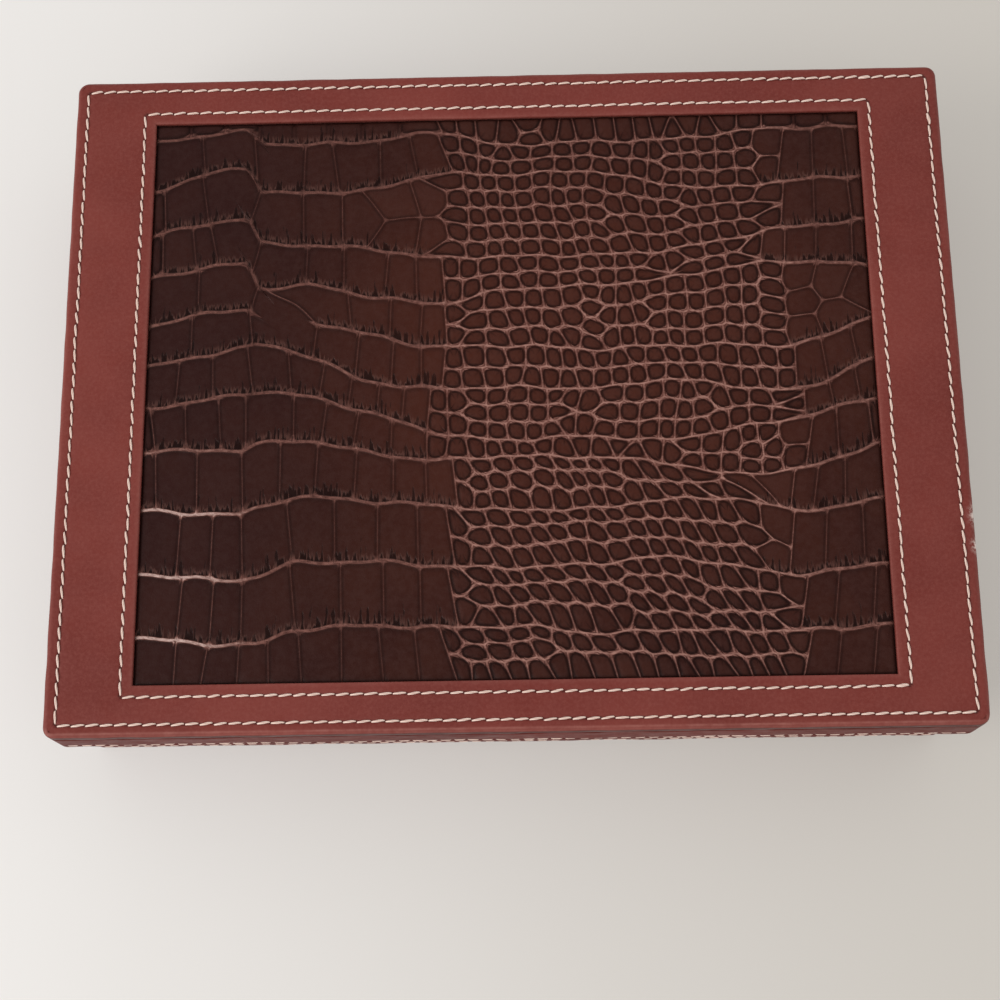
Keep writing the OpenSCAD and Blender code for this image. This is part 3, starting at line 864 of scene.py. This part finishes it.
def scale_faces(first, around, rings, clockwise):
    """Faces of a scale: quads between its rings of points, around to a ring and numbered from first,
    and a fan that closes the last ring on the middle."""
    index = first + np.arange(rings * around).reshape(rings, around)
    middle = np.full(around, first + rings * around)
    faces = []
    for outer, inner in zip(index, index[1:]):
        a, b, c, d = outer, np.roll(outer, -1), np.roll(inner, -1), inner
        faces += np.stack([a, d, c, b] if clockwise else [a, b, c, d], 1).tolist()
    a, b = index[-1], np.roll(index[-1], -1)
    return faces + np.stack([b, a, middle] if clockwise else [a, b, middle], 1).tolist()


def croc_mesh(ridge_mm, seed):
    """The embossed sheet as one mesh: every scale is a star of rings drawn in from its outline, at
    set distances from the ridges and closed on its middle, and neighbours share the outline's
    points."""
    rng = np.random.default_rng(seed)
    scales, heights, among, along = all_scales(rng)
    store = {key: [] for key in ("xy", "z", "ridge", "rim", "tone", "foot")}
    faces, first = [], 0
    for row, large, corners in scales:
        flat, kinds = cell_outline(corners, heights[row], along[row:row + 2], among[row])
        outline = on_panel(row, flat, heights[row])
        kinds[(kinds == RIDGE) & (np.abs(outline[:, 1]) > WINDOW_D / 2 - 0.01)] = BORDER
        following = np.roll(outline, -1, 0)
        area = outline[:, 0] * following[:, 1] - following[:, 0] * outline[:, 1]
        if abs(area.sum()) < 1e-3:
            continue
        insets = LARGE_INSETS if large else SMALL_INSETS
        spots = ring_points(outline, area, insets)
        small = float(1 - smooth(np.array(abs(area.sum()) / 2), *SCALE_AREA))
        looks = edge_looks(row, large, small, flat, outline, kinds)
        values = scale_relief(row, small, spots, outline, kinds, looks, ridge_mm, seed)
        tone = rng.uniform(0, 1) * (0.35 if large else 1.0)
        values.update(xy=spots, tone=np.full(len(spots), tone))
        for key, value in values.items():
            store[key].append(value)
        faces += scale_faces(first, len(outline), len(insets), area.sum() < 0)
        first += len(spots)
    return weld({key: np.concatenate(value) for key, value in store.items()}, faces)


def weld(data, faces):
    """Joins points that share a place, takes the highest of their heights, and closes the mesh
    with sides and an underside."""
    half_w, half_d = WINDOW_W / 2, WINDOW_D / 2
    keys = np.round(data["xy"] / 0.01).astype(np.int64)
    _, firsts, inverse = np.unique(keys, axis=0, return_index=True, return_inverse=True)
    inverse = inverse.ravel()
    z = np.full(len(firsts), -1e9)
    np.maximum.at(z, inverse, data["z"])
    out = {key: data[key][firsts] for key in ("ridge", "rim", "tone", "foot")}
    xy = data["xy"][firsts]
    # pale: where the painted highlight lies on the ridges
    out["pale"] = front_left_highlight(xy[:, 0], xy[:, 1])
    np.maximum.at(out["ridge"], inverse, data["ridge"])
    x, y = np.clip(xy[:, 0], -half_w, half_w), np.clip(xy[:, 1], -half_d, half_d)
    clean = []
    for face in faces:
        loop = [inverse[i] for i in face]
        loop = [p for i, p in enumerate(loop) if p != loop[i - 1]]
        if len(set(loop)) == len(loop) and len(loop) > 2:
            clean.append(loop)
    on_side = np.abs(np.abs(x) - half_w) < 1e-3
    on_end = np.abs(np.abs(y) - half_d) < 1e-3
    rim = []
    for mask, order in ((on_end & (y < 0), x), (on_side & (x > 0), y),
                        (on_end & (y > 0), -x), (on_side & (x < 0), -y)):
        ids = np.nonzero(mask)[0]
        rim += ids[np.argsort(order[ids])].tolist()[:-1]
    count = len(rim)
    below = np.arange(len(x), len(x) + count)
    clean += np.stack([rim, below, np.roll(below, -1), np.roll(rim, -1)], 1).tolist()
    clean.append(below[::-1].tolist())
    under = np.column_stack([x[rim], y[rim], np.full(count, PANEL_LOW[2])])
    points = np.vstack([np.column_stack([x, y, PANEL_Z + z]), under])
    return points, clean, {key: np.concatenate([value, np.zeros(count)]) for key, value in out.items()}


def outline_loop(width, depth, radius, across, deep, arc):
    """A rounded rectangle as points in order, anticlockwise from the front edge: across and deep are
    the places of points on the straight sides, from -1 to 1, and arc the number in each corner."""
    radius = max(radius, 0.02)
    w, d = width / 2 - radius, depth / 2 - radius
    turn = (np.arange(arc) + 0.5) / arc * math.pi / 2
    parts = [np.stack([across * w, np.full(len(across), -d - radius)], 1)]
    parts.append(np.stack([w + radius * np.sin(turn), -d - radius * np.cos(turn)], 1))
    parts.append(np.stack([np.full(len(deep), w + radius), deep * d], 1))
    parts.append(np.stack([w + radius * np.cos(turn), d + radius * np.sin(turn)], 1))
    parts.append(np.stack([-across * w, np.full(len(across), d + radius)], 1))
    parts.append(np.stack([-w - radius * np.sin(turn), d + radius * np.cos(turn)], 1))
    parts.append(np.stack([np.full(len(deep), -w - radius), -deep * d], 1))
    parts.append(np.stack([-w - radius * np.cos(turn), -d - radius * np.sin(turn)], 1))
    return np.vstack(parts)


def row_places(run, pitch):
    """Middles of the stitches of a row of length run, and the pitch that fills the row evenly."""
    count = max(int(round(run / pitch)), 1)
    fitted = run / count
    return (np.arange(count) + 0.5) * fitted - run / 2, fitted


def hole_depth(along, off, run, pitch):
    """Depth of the crease that a row lies in: a shallow channel with a pit at each needle hole."""
    _, fitted = row_places(run, pitch)
    from_hole = (along + run / 2) / fitted
    from_hole = np.abs(from_hole - np.round(from_hole)) * fitted
    inside = smooth(run / 2 + 1.0 - np.abs(along), 0, 0.8)
    channel = 0.16 * np.exp(-(off / 0.75) ** 2)
    pit = 0.34 * np.exp(-(off / 0.5) ** 2 - (from_hole / 0.55) ** 2)
    return inside * (channel + pit)


def flat_row_depth(x, y, width, depth, pitch):
    """Depth of a rectangular row's crease at x, y on the top."""
    front = hole_depth(x, np.abs(y) - depth / 2, width - ROW_END, pitch)
    side = hole_depth(y, np.abs(x) - width / 2, depth - ROW_END, pitch)
    return np.maximum(front, side)


def border_profile(roll, rows):
    """Profile of the border leather from inside the opening, over its lip, across the two rows of
    stitches, closer together there, and over the rolled edge to the seam: (width, depth, corner
    radius, height) of the loop at each place."""
    profile = [(WINDOW_W, WINDOW_D, SHARP_R, z)
               for z in (PANEL_LOW[2] + 0.1, PANEL_Z - 0.5, PANEL_Z + 0.2, TOP_Z - LIP_R)]
    for turn in np.radians([22, 45, 67, 90]):
        grow = 2 * LIP_R * (1 - math.cos(turn))
        profile.append((WINDOW_W + grow, WINDOW_D + grow, SHARP_R, TOP_Z - LIP_R + LIP_R * math.sin(turn)))
    (w0, d0), (w1, d1) = rows
    top = [(w0 + 2 * s, d0 + 2 * s, SHARP_R, TOP_Z) for s in ACROSS_ROW]
    top += [(w1 + 2 * s, d1 + 2 * s, 0.3, TOP_Z) for s in ACROSS_ROW]
    clear = 4 * ACROSS_ROW[-1]
    for share in np.linspace(0.08, 0.92, 7):
        w = w0 + clear / 2 + share * (w1 - w0 - clear)
        top.append((w, d0 + clear / 2 + share * (d1 - d0 - clear), 0.2, TOP_Z))
    profile += sorted(top)
    for turn in np.radians(np.linspace(0, 90, 9)):
        shrink = 2 * roll * (1 - math.sin(turn))
        profile.append((LID_W - shrink, LID_D - shrink, CORNER_R - shrink / 2,
                        TOP_Z - roll + roll * math.cos(turn)))
    thick = TOP_Z - TOP_LOW[2]
    for drop, tuck in ((roll + 0.9, 0.0), (thick - 0.9, 0.0), (thick - 0.35, 0.12),
                       (thick - 0.05, 0.45), (thick, 1.1)):
        profile.append((LID_W - 2 * tuck, LID_D - 2 * tuck, CORNER_R - tuck, TOP_Z - drop))
    return profile


def border_mesh(sizes):
    """The border leather: the border profile carried round the lid. Its top sinks 0.1 mm plus the
    depth of the creases, swells by slow waves, and dips along the outer row. Its sides swell too."""
    pitch = sizes.stitch_pitch / MM
    roll = sizes.edge_roll / MM
    low = TOP_LOW[2]
    rows = [(WINDOW_W + 2 * INNER_ROW, WINDOW_D + 2 * INNER_ROW),
            (LID_W - 2 * OUTER_ROW, LID_D - 2 * OUTER_ROW)]
    profile = border_profile(roll, rows)
    across, deep = np.linspace(-1, 1, 380), np.linspace(-1, 1, 292)
    xy = np.stack([outline_loop(w, d, r, across, deep, CORNER_POINTS) for w, d, r, _ in profile])
    x, y = xy[..., 0], xy[..., 1]
    z = np.repeat(np.array([p[3] for p in profile])[:, None], xy.shape[1], 1)
    depth = np.maximum(*[flat_row_depth(x, y, w, d, pitch) for w, d in rows])
    gap_x, gap_y = LID_W / 2 - np.abs(x), LID_D / 2 - np.abs(y)
    edge_gap = np.minimum(gap_x, gap_y)
    on_top = smooth(z, TOP_Z - 0.9, TOP_Z - 0.2)
    swell = 0.1 * ripple(x, y, 26, sizes.seed + 1) + 0.05 * ripple(x, y, 9, sizes.seed + 2)
    swell -= 0.12 * np.exp(-((edge_gap - OUTER_ROW) / 1.7) ** 2)
    z = z + on_top * (swell - SUNK - depth)
    out = 0.08 * ripple(x + y, z * 3, 17, sizes.seed + 3) * smooth(z, low, low + 0.8)
    out = out * smooth(-edge_gap, -1.2, 0.0)
    sx, sy = np.sign(x) * (gap_x < gap_y), np.sign(y) * (gap_x >= gap_y)
    points = np.stack([x + sx * out, y + sy * out, z], -1).reshape(-1, 3)
    # A painted shade in the stitch channels and needle holes, along the seam at the border's lower edge and
    # in the recess round the opening
    crease = np.clip((depth - 0.08) / 0.3, 0, 1) * on_top + smooth(-z, -low - 0.5, -low)
    crease = crease + smooth(-z, -PANEL_Z - 0.6, -PANEL_Z)
    front = smooth(-y, LID_D / 2 - 4, LID_D / 2 - 2)
    wear_and_highlight = 0.5 * np.exp(-((z - TOP_Z + 0.4 * roll) / 0.42) ** 2) * smooth(-edge_gap, -2.4, -0.3)
    # A painted highlight along the front's rolled edge
    wear_and_highlight += front * np.exp(-((edge_gap - 0.75 * roll) / 0.35) ** 2) * smooth(z, low, TOP_Z - roll)
    lip_gap = np.maximum(np.abs(x) - WINDOW_W / 2, np.abs(y) - WINDOW_D / 2)
    wear_and_highlight += 0.35 * np.exp(-((lip_gap - 0.4) / 0.5) ** 2)
    scuff = np.zeros_like(x)
    for at_y, reach in SCUFFS:
        scuff += np.exp(-((y - at_y) / reach) ** 2 - ((x - LID_W / 2) / 1.4) ** 2)
    values = {"crease": np.clip(crease, 0, 1).ravel(), "wear_and_highlight": np.clip(wear_and_highlight, 0, 1).ravel(),
              "scuff": np.clip(scuff, 0, 1).ravel()}
    return points, grid_faces(*x.shape, True), values


def skirt_profile(low, high, row_z, under, seam_top):
    """Profile of side leather, as (inset from the side, height). From a seam at the top, or from a
    rolled rim, it comes down past the row of stitches, closer together there, rolls round the lower
    edge and runs in underneath."""
    turns = np.radians([0, 22, 45, 67, 90])
    if seam_top:
        profile = [(1.1, high), (0.5, high - 0.03), (0.15, high - 0.3), (0.0, high - 0.8)]
        heights = [high - 2, high - 4, high - 7, row_z + 4, row_z + 2.2, row_z + 1.3]
        end = [(under - 0.3, low), (under, low + 0.3)]
    else:
        profile = [(under, high), (under - 1.2, high)]
        profile += [(SKIRT_ROLL * (1 - math.sin(turn)), high - SKIRT_ROLL + SKIRT_ROLL * math.cos(turn))
                    for turn in turns]
        heights = list(np.linspace(high - 3, row_z + 5, 7)) + [row_z + 3, row_z + 1.3]
        end = [(1.6, low)]
    heights += [row_z + s for s in (0.8, 0.5, 0.25, 0, -0.25, -0.5, -0.8, -1.3)]
    profile += [(0.0, z) for z in heights]
    profile += [(SKIRT_ROLL * (1 - math.cos(turn)), low + SKIRT_ROLL - SKIRT_ROLL * math.sin(turn))
                for turn in turns]
    return profile + end


def skirt_mesh(width, depth, radius, low, high, under, seam_top, pitch, seed):
    """Leather round upright sides: the skirt profile carried round a rounded rectangle. Its sides
    swell by slow waves, which fade out at the corners, and sink by the depth of the row's crease."""
    row_z = low + SIDE_ROW
    profile = skirt_profile(low, high, row_z, under, seam_top)
    across, deep = np.linspace(-1, 1, 300), np.linspace(-1, 1, 230)
    xy = np.stack([outline_loop(width - 2 * t, depth - 2 * t, radius - min(t, radius - SHARP_R),
                                across, deep, CORNER_POINTS) for t, _ in profile])
    inset, z = (np.repeat(np.array(part)[:, None], xy.shape[1], 1) for part in zip(*profile))
    x, y = xy[..., 0], xy[..., 1]
    on_front = depth / 2 - np.abs(y) < width / 2 - np.abs(x)
    along = np.where(on_front, x, y)
    run = np.where(on_front, width - 2 * radius, depth - 2 * radius)
    dent = np.where(on_front, hole_depth(along, z - row_z, width - 2 * radius, pitch),
                    hole_depth(along, z - row_z, depth - 2 * radius, pitch))
    swell = 0.12 * ripple(along, z * 2 + 40 * on_front, 30, seed)
    swell += 0.05 * ripple(along, z * 2 + 40 * on_front, 9, seed + 1)
    swell = swell * smooth(run / 2 - np.abs(along), 0, 6)
    push = np.exp(-(inset / 0.3) ** 2) * (np.clip(swell, -0.2, 0.2) - dent)
    sx = np.where(on_front, 0, np.sign(x))
    sy = np.where(on_front, np.sign(y), 0)
    points = np.stack([x + sx * push, y + sy * push, z], -1).reshape(-1, 3)
    # A painted shade in the stitch channel and needle holes, and along the seam at the top
    crease = np.clip(dent / 0.3, 0, 1)
    if seam_top:
        crease = crease + smooth(z, high - 0.7, high)
    wear_and_highlight = np.exp(-((z - low - 0.3) / 0.7) ** 2) * (inset < 0.8)
    values = {"crease": np.clip(crease, 0, 1).ravel(), "wear_and_highlight": np.clip(wear_and_highlight, 0, 1).ravel(),
              "scuff": np.zeros(x.size)}
    return points, grid_faces(*x.shape, True), values


def stitches_mesh(places, seed, doubled, sunk):
    """Stitches from (middle, along, out, length) rows, thicker where two were sewn at one place, near
    the spots in doubled, and sunk mm deeper. Each is a tube whose line rises out of one needle hole
    and dips into the next, by 0.62 t^5, with r = r0 (1 - 0.3 t^4) for t from -1 to 1 and a two-strand
    twist."""
    rng = np.random.default_rng(seed)
    middle, along, out, length = (np.array(part, float) for part in zip(*places))
    count = len(middle)
    side = np.cross(out, along)
    turn = np.radians(STITCH_SLANT + rng.normal(0, 2.2, count))[:, None]
    direction = along * np.cos(turn) + side * np.sin(turn)
    across = np.cross(out, direction)
    middle = middle + side * rng.normal(0, 0.07, count)[:, None]
    length = length * rng.uniform(0.95, 1.04, count)
    fat = rng.uniform(0.86, 0.98, count)
    for spot in doubled:
        fat[np.argmin(((middle[:, :2] - spot) ** 2).sum(1))] *= 1.45
    t = np.array([-1.0, -0.86, -0.55, -0.15, 0.15, 0.55, 0.86, 1.0])
    phi = np.arange(8) / 8 * 2 * math.pi
    lift = 0.12 - sunk - 0.62 * np.abs(t) ** 5
    radius = THREAD_D / 2 * (1 - 0.3 * np.abs(t) ** 4)
    twist = phi[None, :] - 2.1 * t[:, None]
    ring = radius[:, None] * (1 + 0.13 * np.cos(2 * twist))
    line = (middle[:, None] + direction[:, None] * (t[None, :, None] * length[:, None, None] / 2)
            + out[:, None] * lift[None, :, None])
    shape = (across[:, None, None] * (ring * np.cos(phi))[None, :, :, None]
             + out[:, None, None] * (ring * np.sin(phi) * 0.8)[None, :, :, None])
    points = line[:, :, None] + shape * fat[:, None, None, None]
    n, m = len(t), len(phi)
    quads = np.array(grid_faces(n, m))[:, ::-1]
    caps = np.array([list(range(m))[::-1], list(range((n - 1) * m, n * m))])
    faces = []
    for i in range(count):
        faces += (quads + i * n * m).tolist()
        faces += (caps + i * n * m).tolist()
    lay = np.broadcast_to(0.5 - 0.5 * np.cos(2 * twist), (count, n, m))
    tone = np.repeat(rng.uniform(0, 1, count), n * m)
    return points.reshape(-1, 3), faces, {"lay": lay.ravel(), "tone": tone}


def row_stitches(width, depth, z, trim, pitch, upright):
    """Stitches along the four sides of a rectangle, as (middle, along, out, length). Each row is trim
    shorter than its side. out is up, or away from the side where upright."""
    places = []
    for sign in (-1, 1):
        out = (0, sign, 0) if upright else (0, 0, 1)
        spots, fitted = row_places(width - trim, pitch)
        places += [((-sign * x, sign * depth / 2, z), (-sign, 0, 0), out, fitted * 0.93) for x in spots]
    for sign in (1, -1):
        out = (sign, 0, 0) if upright else (0, 0, 1)
        spots, fitted = row_places(depth - trim, pitch)
        places += [((sign * width / 2, sign * y, z), (0, sign, 0), out, fitted * 0.93) for y in spots]
    return places


def dress(node, material):
    """Gives a carried-over solid a material."""
    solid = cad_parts[node]
    solid.data.materials.clear()
    solid.data.materials.append(material)


class BOX_OT_croc_panel(bpy.types.Operator):
    """Make the crocodile-embossed panel"""
    bl_idname = "stationery_box.croc_panel"
    bl_label = "Embossed panel"

    def execute(self, context):
        sizes, colours = context.scene.box_sizes, context.scene.box_colours
        points, faces, values = croc_mesh(sizes.ridge_height / MM, sizes.seed)
        panel = make_piece("croc_relief", points, faces, croc_material(colours), values)
        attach(panel, "lid")
        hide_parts("croc_panel")
        return {"FINISHED"}


class BOX_OT_border(bpy.types.Operator):
    """Make the smooth border leather of the top"""
    bl_idname = "stationery_box.border"
    bl_label = "Border leather"

    def execute(self, context):
        sizes, colours = context.scene.box_sizes, context.scene.box_colours
        points, faces, values = border_mesh(sizes)
        material = calf_material("border_calf", 0.0, colours.calf, colours.calf_deep, 0.25)
        border = make_piece("border_skin", points, faces, material, values)
        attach(border, "lid")
        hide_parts("frame_leather")
        return {"FINISHED"}


class BOX_OT_sides(bpy.types.Operator):
    """Make the leather round the lid's sides and round the base"""
    bl_idname = "stationery_box.sides"
    bl_label = "Side leather"

    def execute(self, context):
        sizes, colours = context.scene.box_sizes, context.scene.box_colours
        pitch = sizes.stitch_pitch / MM
        # The sides' calf, drawn darker than the top's as a painted shade, and with less gloss
        material = calf_material("side_calf", 0.7, colours.side, colours.side_deep, 0.05)
        points, faces, values = skirt_mesh(
            LID_W, LID_D, CORNER_R, SIDE_LOW[2], SIDE_HIGH[2], LID_WALL, True, pitch, sizes.seed + 5)
        lid = make_piece("lid_side_skin", points, faces, material, values)
        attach(lid, "lid")
        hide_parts("lid_side_leather")
        points, faces, values = skirt_mesh(
            BASE_W, BASE_D, BASE_CORNER_R, BASE_LOW[2], BASE_HIGH[2], BASE_WALL, False, pitch,
            sizes.seed + 7)
        base = make_piece("base_side_skin", points, faces, material, values)
        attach(base, "base")
        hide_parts("base_side_leather")
        dress("base_bottom_leather", underside_material(colours))
        return {"FINISHED"}


class BOX_OT_stitching(bpy.types.Operator):
    """Make the four rows of stitches"""
    bl_idname = "stationery_box.stitching"
    bl_label = "Stitching"

    def execute(self, context):
        sizes, colours = context.scene.box_sizes, context.scene.box_colours
        pitch = sizes.stitch_pitch / MM
        material = thread_material(colours)
        top = TOP_Z - SUNK
        outer = row_stitches(LID_W - 2 * OUTER_ROW, LID_D - 2 * OUTER_ROW, top, ROW_END, pitch, False)
        inner = row_stitches(
            WINDOW_W + 2 * INNER_ROW, WINDOW_D + 2 * INNER_ROW, top, ROW_END, pitch, False)
        lid = row_stitches(LID_W, LID_D, SIDE_LOW[2] + SIDE_ROW, 2 * CORNER_R, pitch, True)
        base = row_stitches(BASE_W, BASE_D, BASE_LOW[2] + SIDE_ROW, 2 * BASE_CORNER_R, pitch, True)
        rows = [
            ("outer_stitches", "outer_stitching", "lid", outer, DOUBLED_OUTER, 0.0),
            ("inner_stitches", "inner_stitching", "lid", inner, DOUBLED_INNER, 0.0),
            ("lid_side_stitches", "lid_side_stitching", "lid", lid, [], 0.3),
            ("base_stitches", "base_stitching", "base", base, [], 0.12)]
        for i, (name, node, body, places, doubled, sunk) in enumerate(rows):
            points, faces, values = stitches_mesh(places, sizes.seed + 20 + i, doubled, sunk)
            made = make_piece(name, points, faces, material, values)
            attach(made, body)
            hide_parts(node)
        return {"FINISHED"}


class BOX_OT_boards(bpy.types.Operator):
    """Finish the boards, the cards and the felt"""
    bl_idname = "stationery_box.boards"
    bl_label = "Boards and felt"

    def execute(self, context):
        board = board_material("grey_board", "#9c8763", "#8b7755")
        card = board_material("smooth_card", "#b7a27d", "#a8946f")
        for side in ("front", "back", "left", "right"):
            dress(f"lid_{side}_board", board)
            dress(f"base_{side}_board", board)
        dress("lid_top_board", board)
        dress("base_bottom_board", board)
        dress("frame_card", card)
        dress("floor_card", card)
        dress("base_felt", felt_material())
        return {"FINISHED"}


class BOX_OT_linings(bpy.types.Operator):
    """Finish the suede linings"""
    bl_idname = "stationery_box.linings"
    bl_label = "Suede linings"

    def execute(self, context):
        suede = suede_material(context.scene.box_colours)
        for node in ("lid_top_lining", "lid_side_lining", "base_side_lining", "floor_lining"):
            dress(node, suede)
        return {"FINISHED"}


# Camera of the photograph, in millimetres and degrees
CAMERA_AT = (6.2, -215.6, 673.1)
CAMERA_TURN = (15.73, 1.149, -0.69)
CAMERA_LENS = 64.8

# The lamp that stands for the window to the left, in millimetres and watts
KEY_AT = (-1500, -700, 1300)
KEY_SIZE = 1300
KEY_POWER = 20.0
FLOOR_REACH = 20000


def room_light(scene):
    """Soft light from all round. Mirrored in the leather it fades towards the zenith, and seen
    directly it is a plain pale grey."""
    world = bpy.data.worlds.new("studio")
    scene.world = world
    world.use_nodes = True
    sky = world.node_tree
    sky.nodes.clear()
    path = add(sky, "ShaderNodeLightPath", {})
    way = add(sky, "ShaderNodeTexCoord", {}, "Generated")
    up = add(sky, "ShaderNodeSeparateXYZ", {0: way}, "Z")
    dim = add(sky, "ShaderNodeMapRange", {
        "Value": up, "From Min": 0.3, "From Max": 0.95, "To Min": 0.5, "To Max": 0.02}, "Result", **EASED)
    light, mirror, shown = [
        add(sky, "ShaderNodeBackground", {"Color": linear(code), "Strength": strength}, 0)
        for code, strength in (("#fdfbf8", 0.8), ("#eef0f4", dim), ("#e4e2de", 1.0))]
    mixed = add(sky, "ShaderNodeMixShader", {0: path.outputs["Is Glossy Ray"], 1: light, 2: mirror}, 0)
    mixed = add(sky, "ShaderNodeMixShader", {0: path.outputs["Is Camera Ray"], 1: mixed, 2: shown}, 0)
    add(sky, "ShaderNodeOutputWorld", {"Surface": mixed})


def key_lamp(scene):
    """A square lamp that shines at the middle of the lid."""
    lamp = bpy.data.lights.new("key", "AREA")
    lamp.size = KEY_SIZE * MM
    lamp.energy = KEY_POWER
    lamp.color = linear("#fffcf8")[:3]
    holder = bpy.data.objects.new("key", lamp)
    holder.location = [v * MM for v in KEY_AT]
    towards = np.array([0, 0, TOP_Z]) - KEY_AT
    flat = math.hypot(towards[0], towards[1])
    holder.rotation_euler = Euler((math.atan2(flat, -towards[2]), 0,
                                   math.atan2(towards[1], towards[0]) - math.pi / 2))
    scene.collection.objects.link(holder)


def photo_camera(scene):
    """The camera where the photograph was taken from."""
    lens = bpy.data.cameras.new("photo_view")
    lens.lens = CAMERA_LENS
    lens.sensor_width = 36
    lens.clip_end = 50
    camera = bpy.data.objects.new("photo_view", lens)
    camera.location = [v * MM for v in CAMERA_AT]
    camera.rotation_euler = Euler([math.radians(v) for v in CAMERA_TURN])
    scene.collection.objects.link(camera)
    scene.camera = camera


class BOX_OT_studio(bpy.types.Operator):
    """Make the floor, the lamps and the camera"""
    bl_idname = "stationery_box.studio"
    bl_label = "Studio"

    def execute(self, context):
        scene = context.scene
        points = [(x * FLOOR_REACH, y * FLOOR_REACH, 0) for x, y in ((-1, -1), (1, -1), (1, 1), (-1, 1))]
        floor = make_piece("floor", points, [[0, 1, 2, 3]], desk_material(scene.box_colours))
        room_light(scene)
        key_lamp(scene)
        photo_camera(scene)
        scene.view_settings.view_transform = "Standard"
        return {"FINISHED"}


class BOX_PT_sidebar(bpy.types.Panel):
    bl_idname = "BOX_PT_sidebar"
    bl_label = "Stationery box"
    bl_space_type = "VIEW_3D"
    bl_region_type = "UI"
    bl_category = "Stationery box"

    def draw(self, context):
        for group in (context.scene.box_sizes, context.scene.box_colours):
            column = self.layout.column()
            for key in group.__annotations__:
                column.prop(group, key)
        for operator in OPERATORS:
            self.layout.operator(operator.bl_idname)


OPERATORS = (BOX_OT_croc_panel, BOX_OT_border, BOX_OT_sides, BOX_OT_stitching, BOX_OT_boards,
             BOX_OT_linings, BOX_OT_studio)
CLASSES = (BoxSizes, BoxColours, *OPERATORS, BOX_PT_sidebar)


def register():
    for item in CLASSES:
        bpy.utils.register_class(item)
    bpy.types.Scene.box_sizes = bpy.props.PointerProperty(type=BoxSizes)
    bpy.types.Scene.box_colours = bpy.props.PointerProperty(type=BoxColours)


def unregister():
    del bpy.types.Scene.box_colours
    del bpy.types.Scene.box_sizes
    for item in reversed(CLASSES):
        bpy.utils.unregister_class(item)


def main():
    """Builds every piece in order."""
    register()
    bpy.ops.stationery_box.croc_panel()
    bpy.ops.stationery_box.border()
    bpy.ops.stationery_box.sides()
    bpy.ops.stationery_box.stitching()
    bpy.ops.stationery_box.boards()
    bpy.ops.stationery_box.linings()
    bpy.ops.stationery_box.studio()


if __name__ == "__main__":
    main()
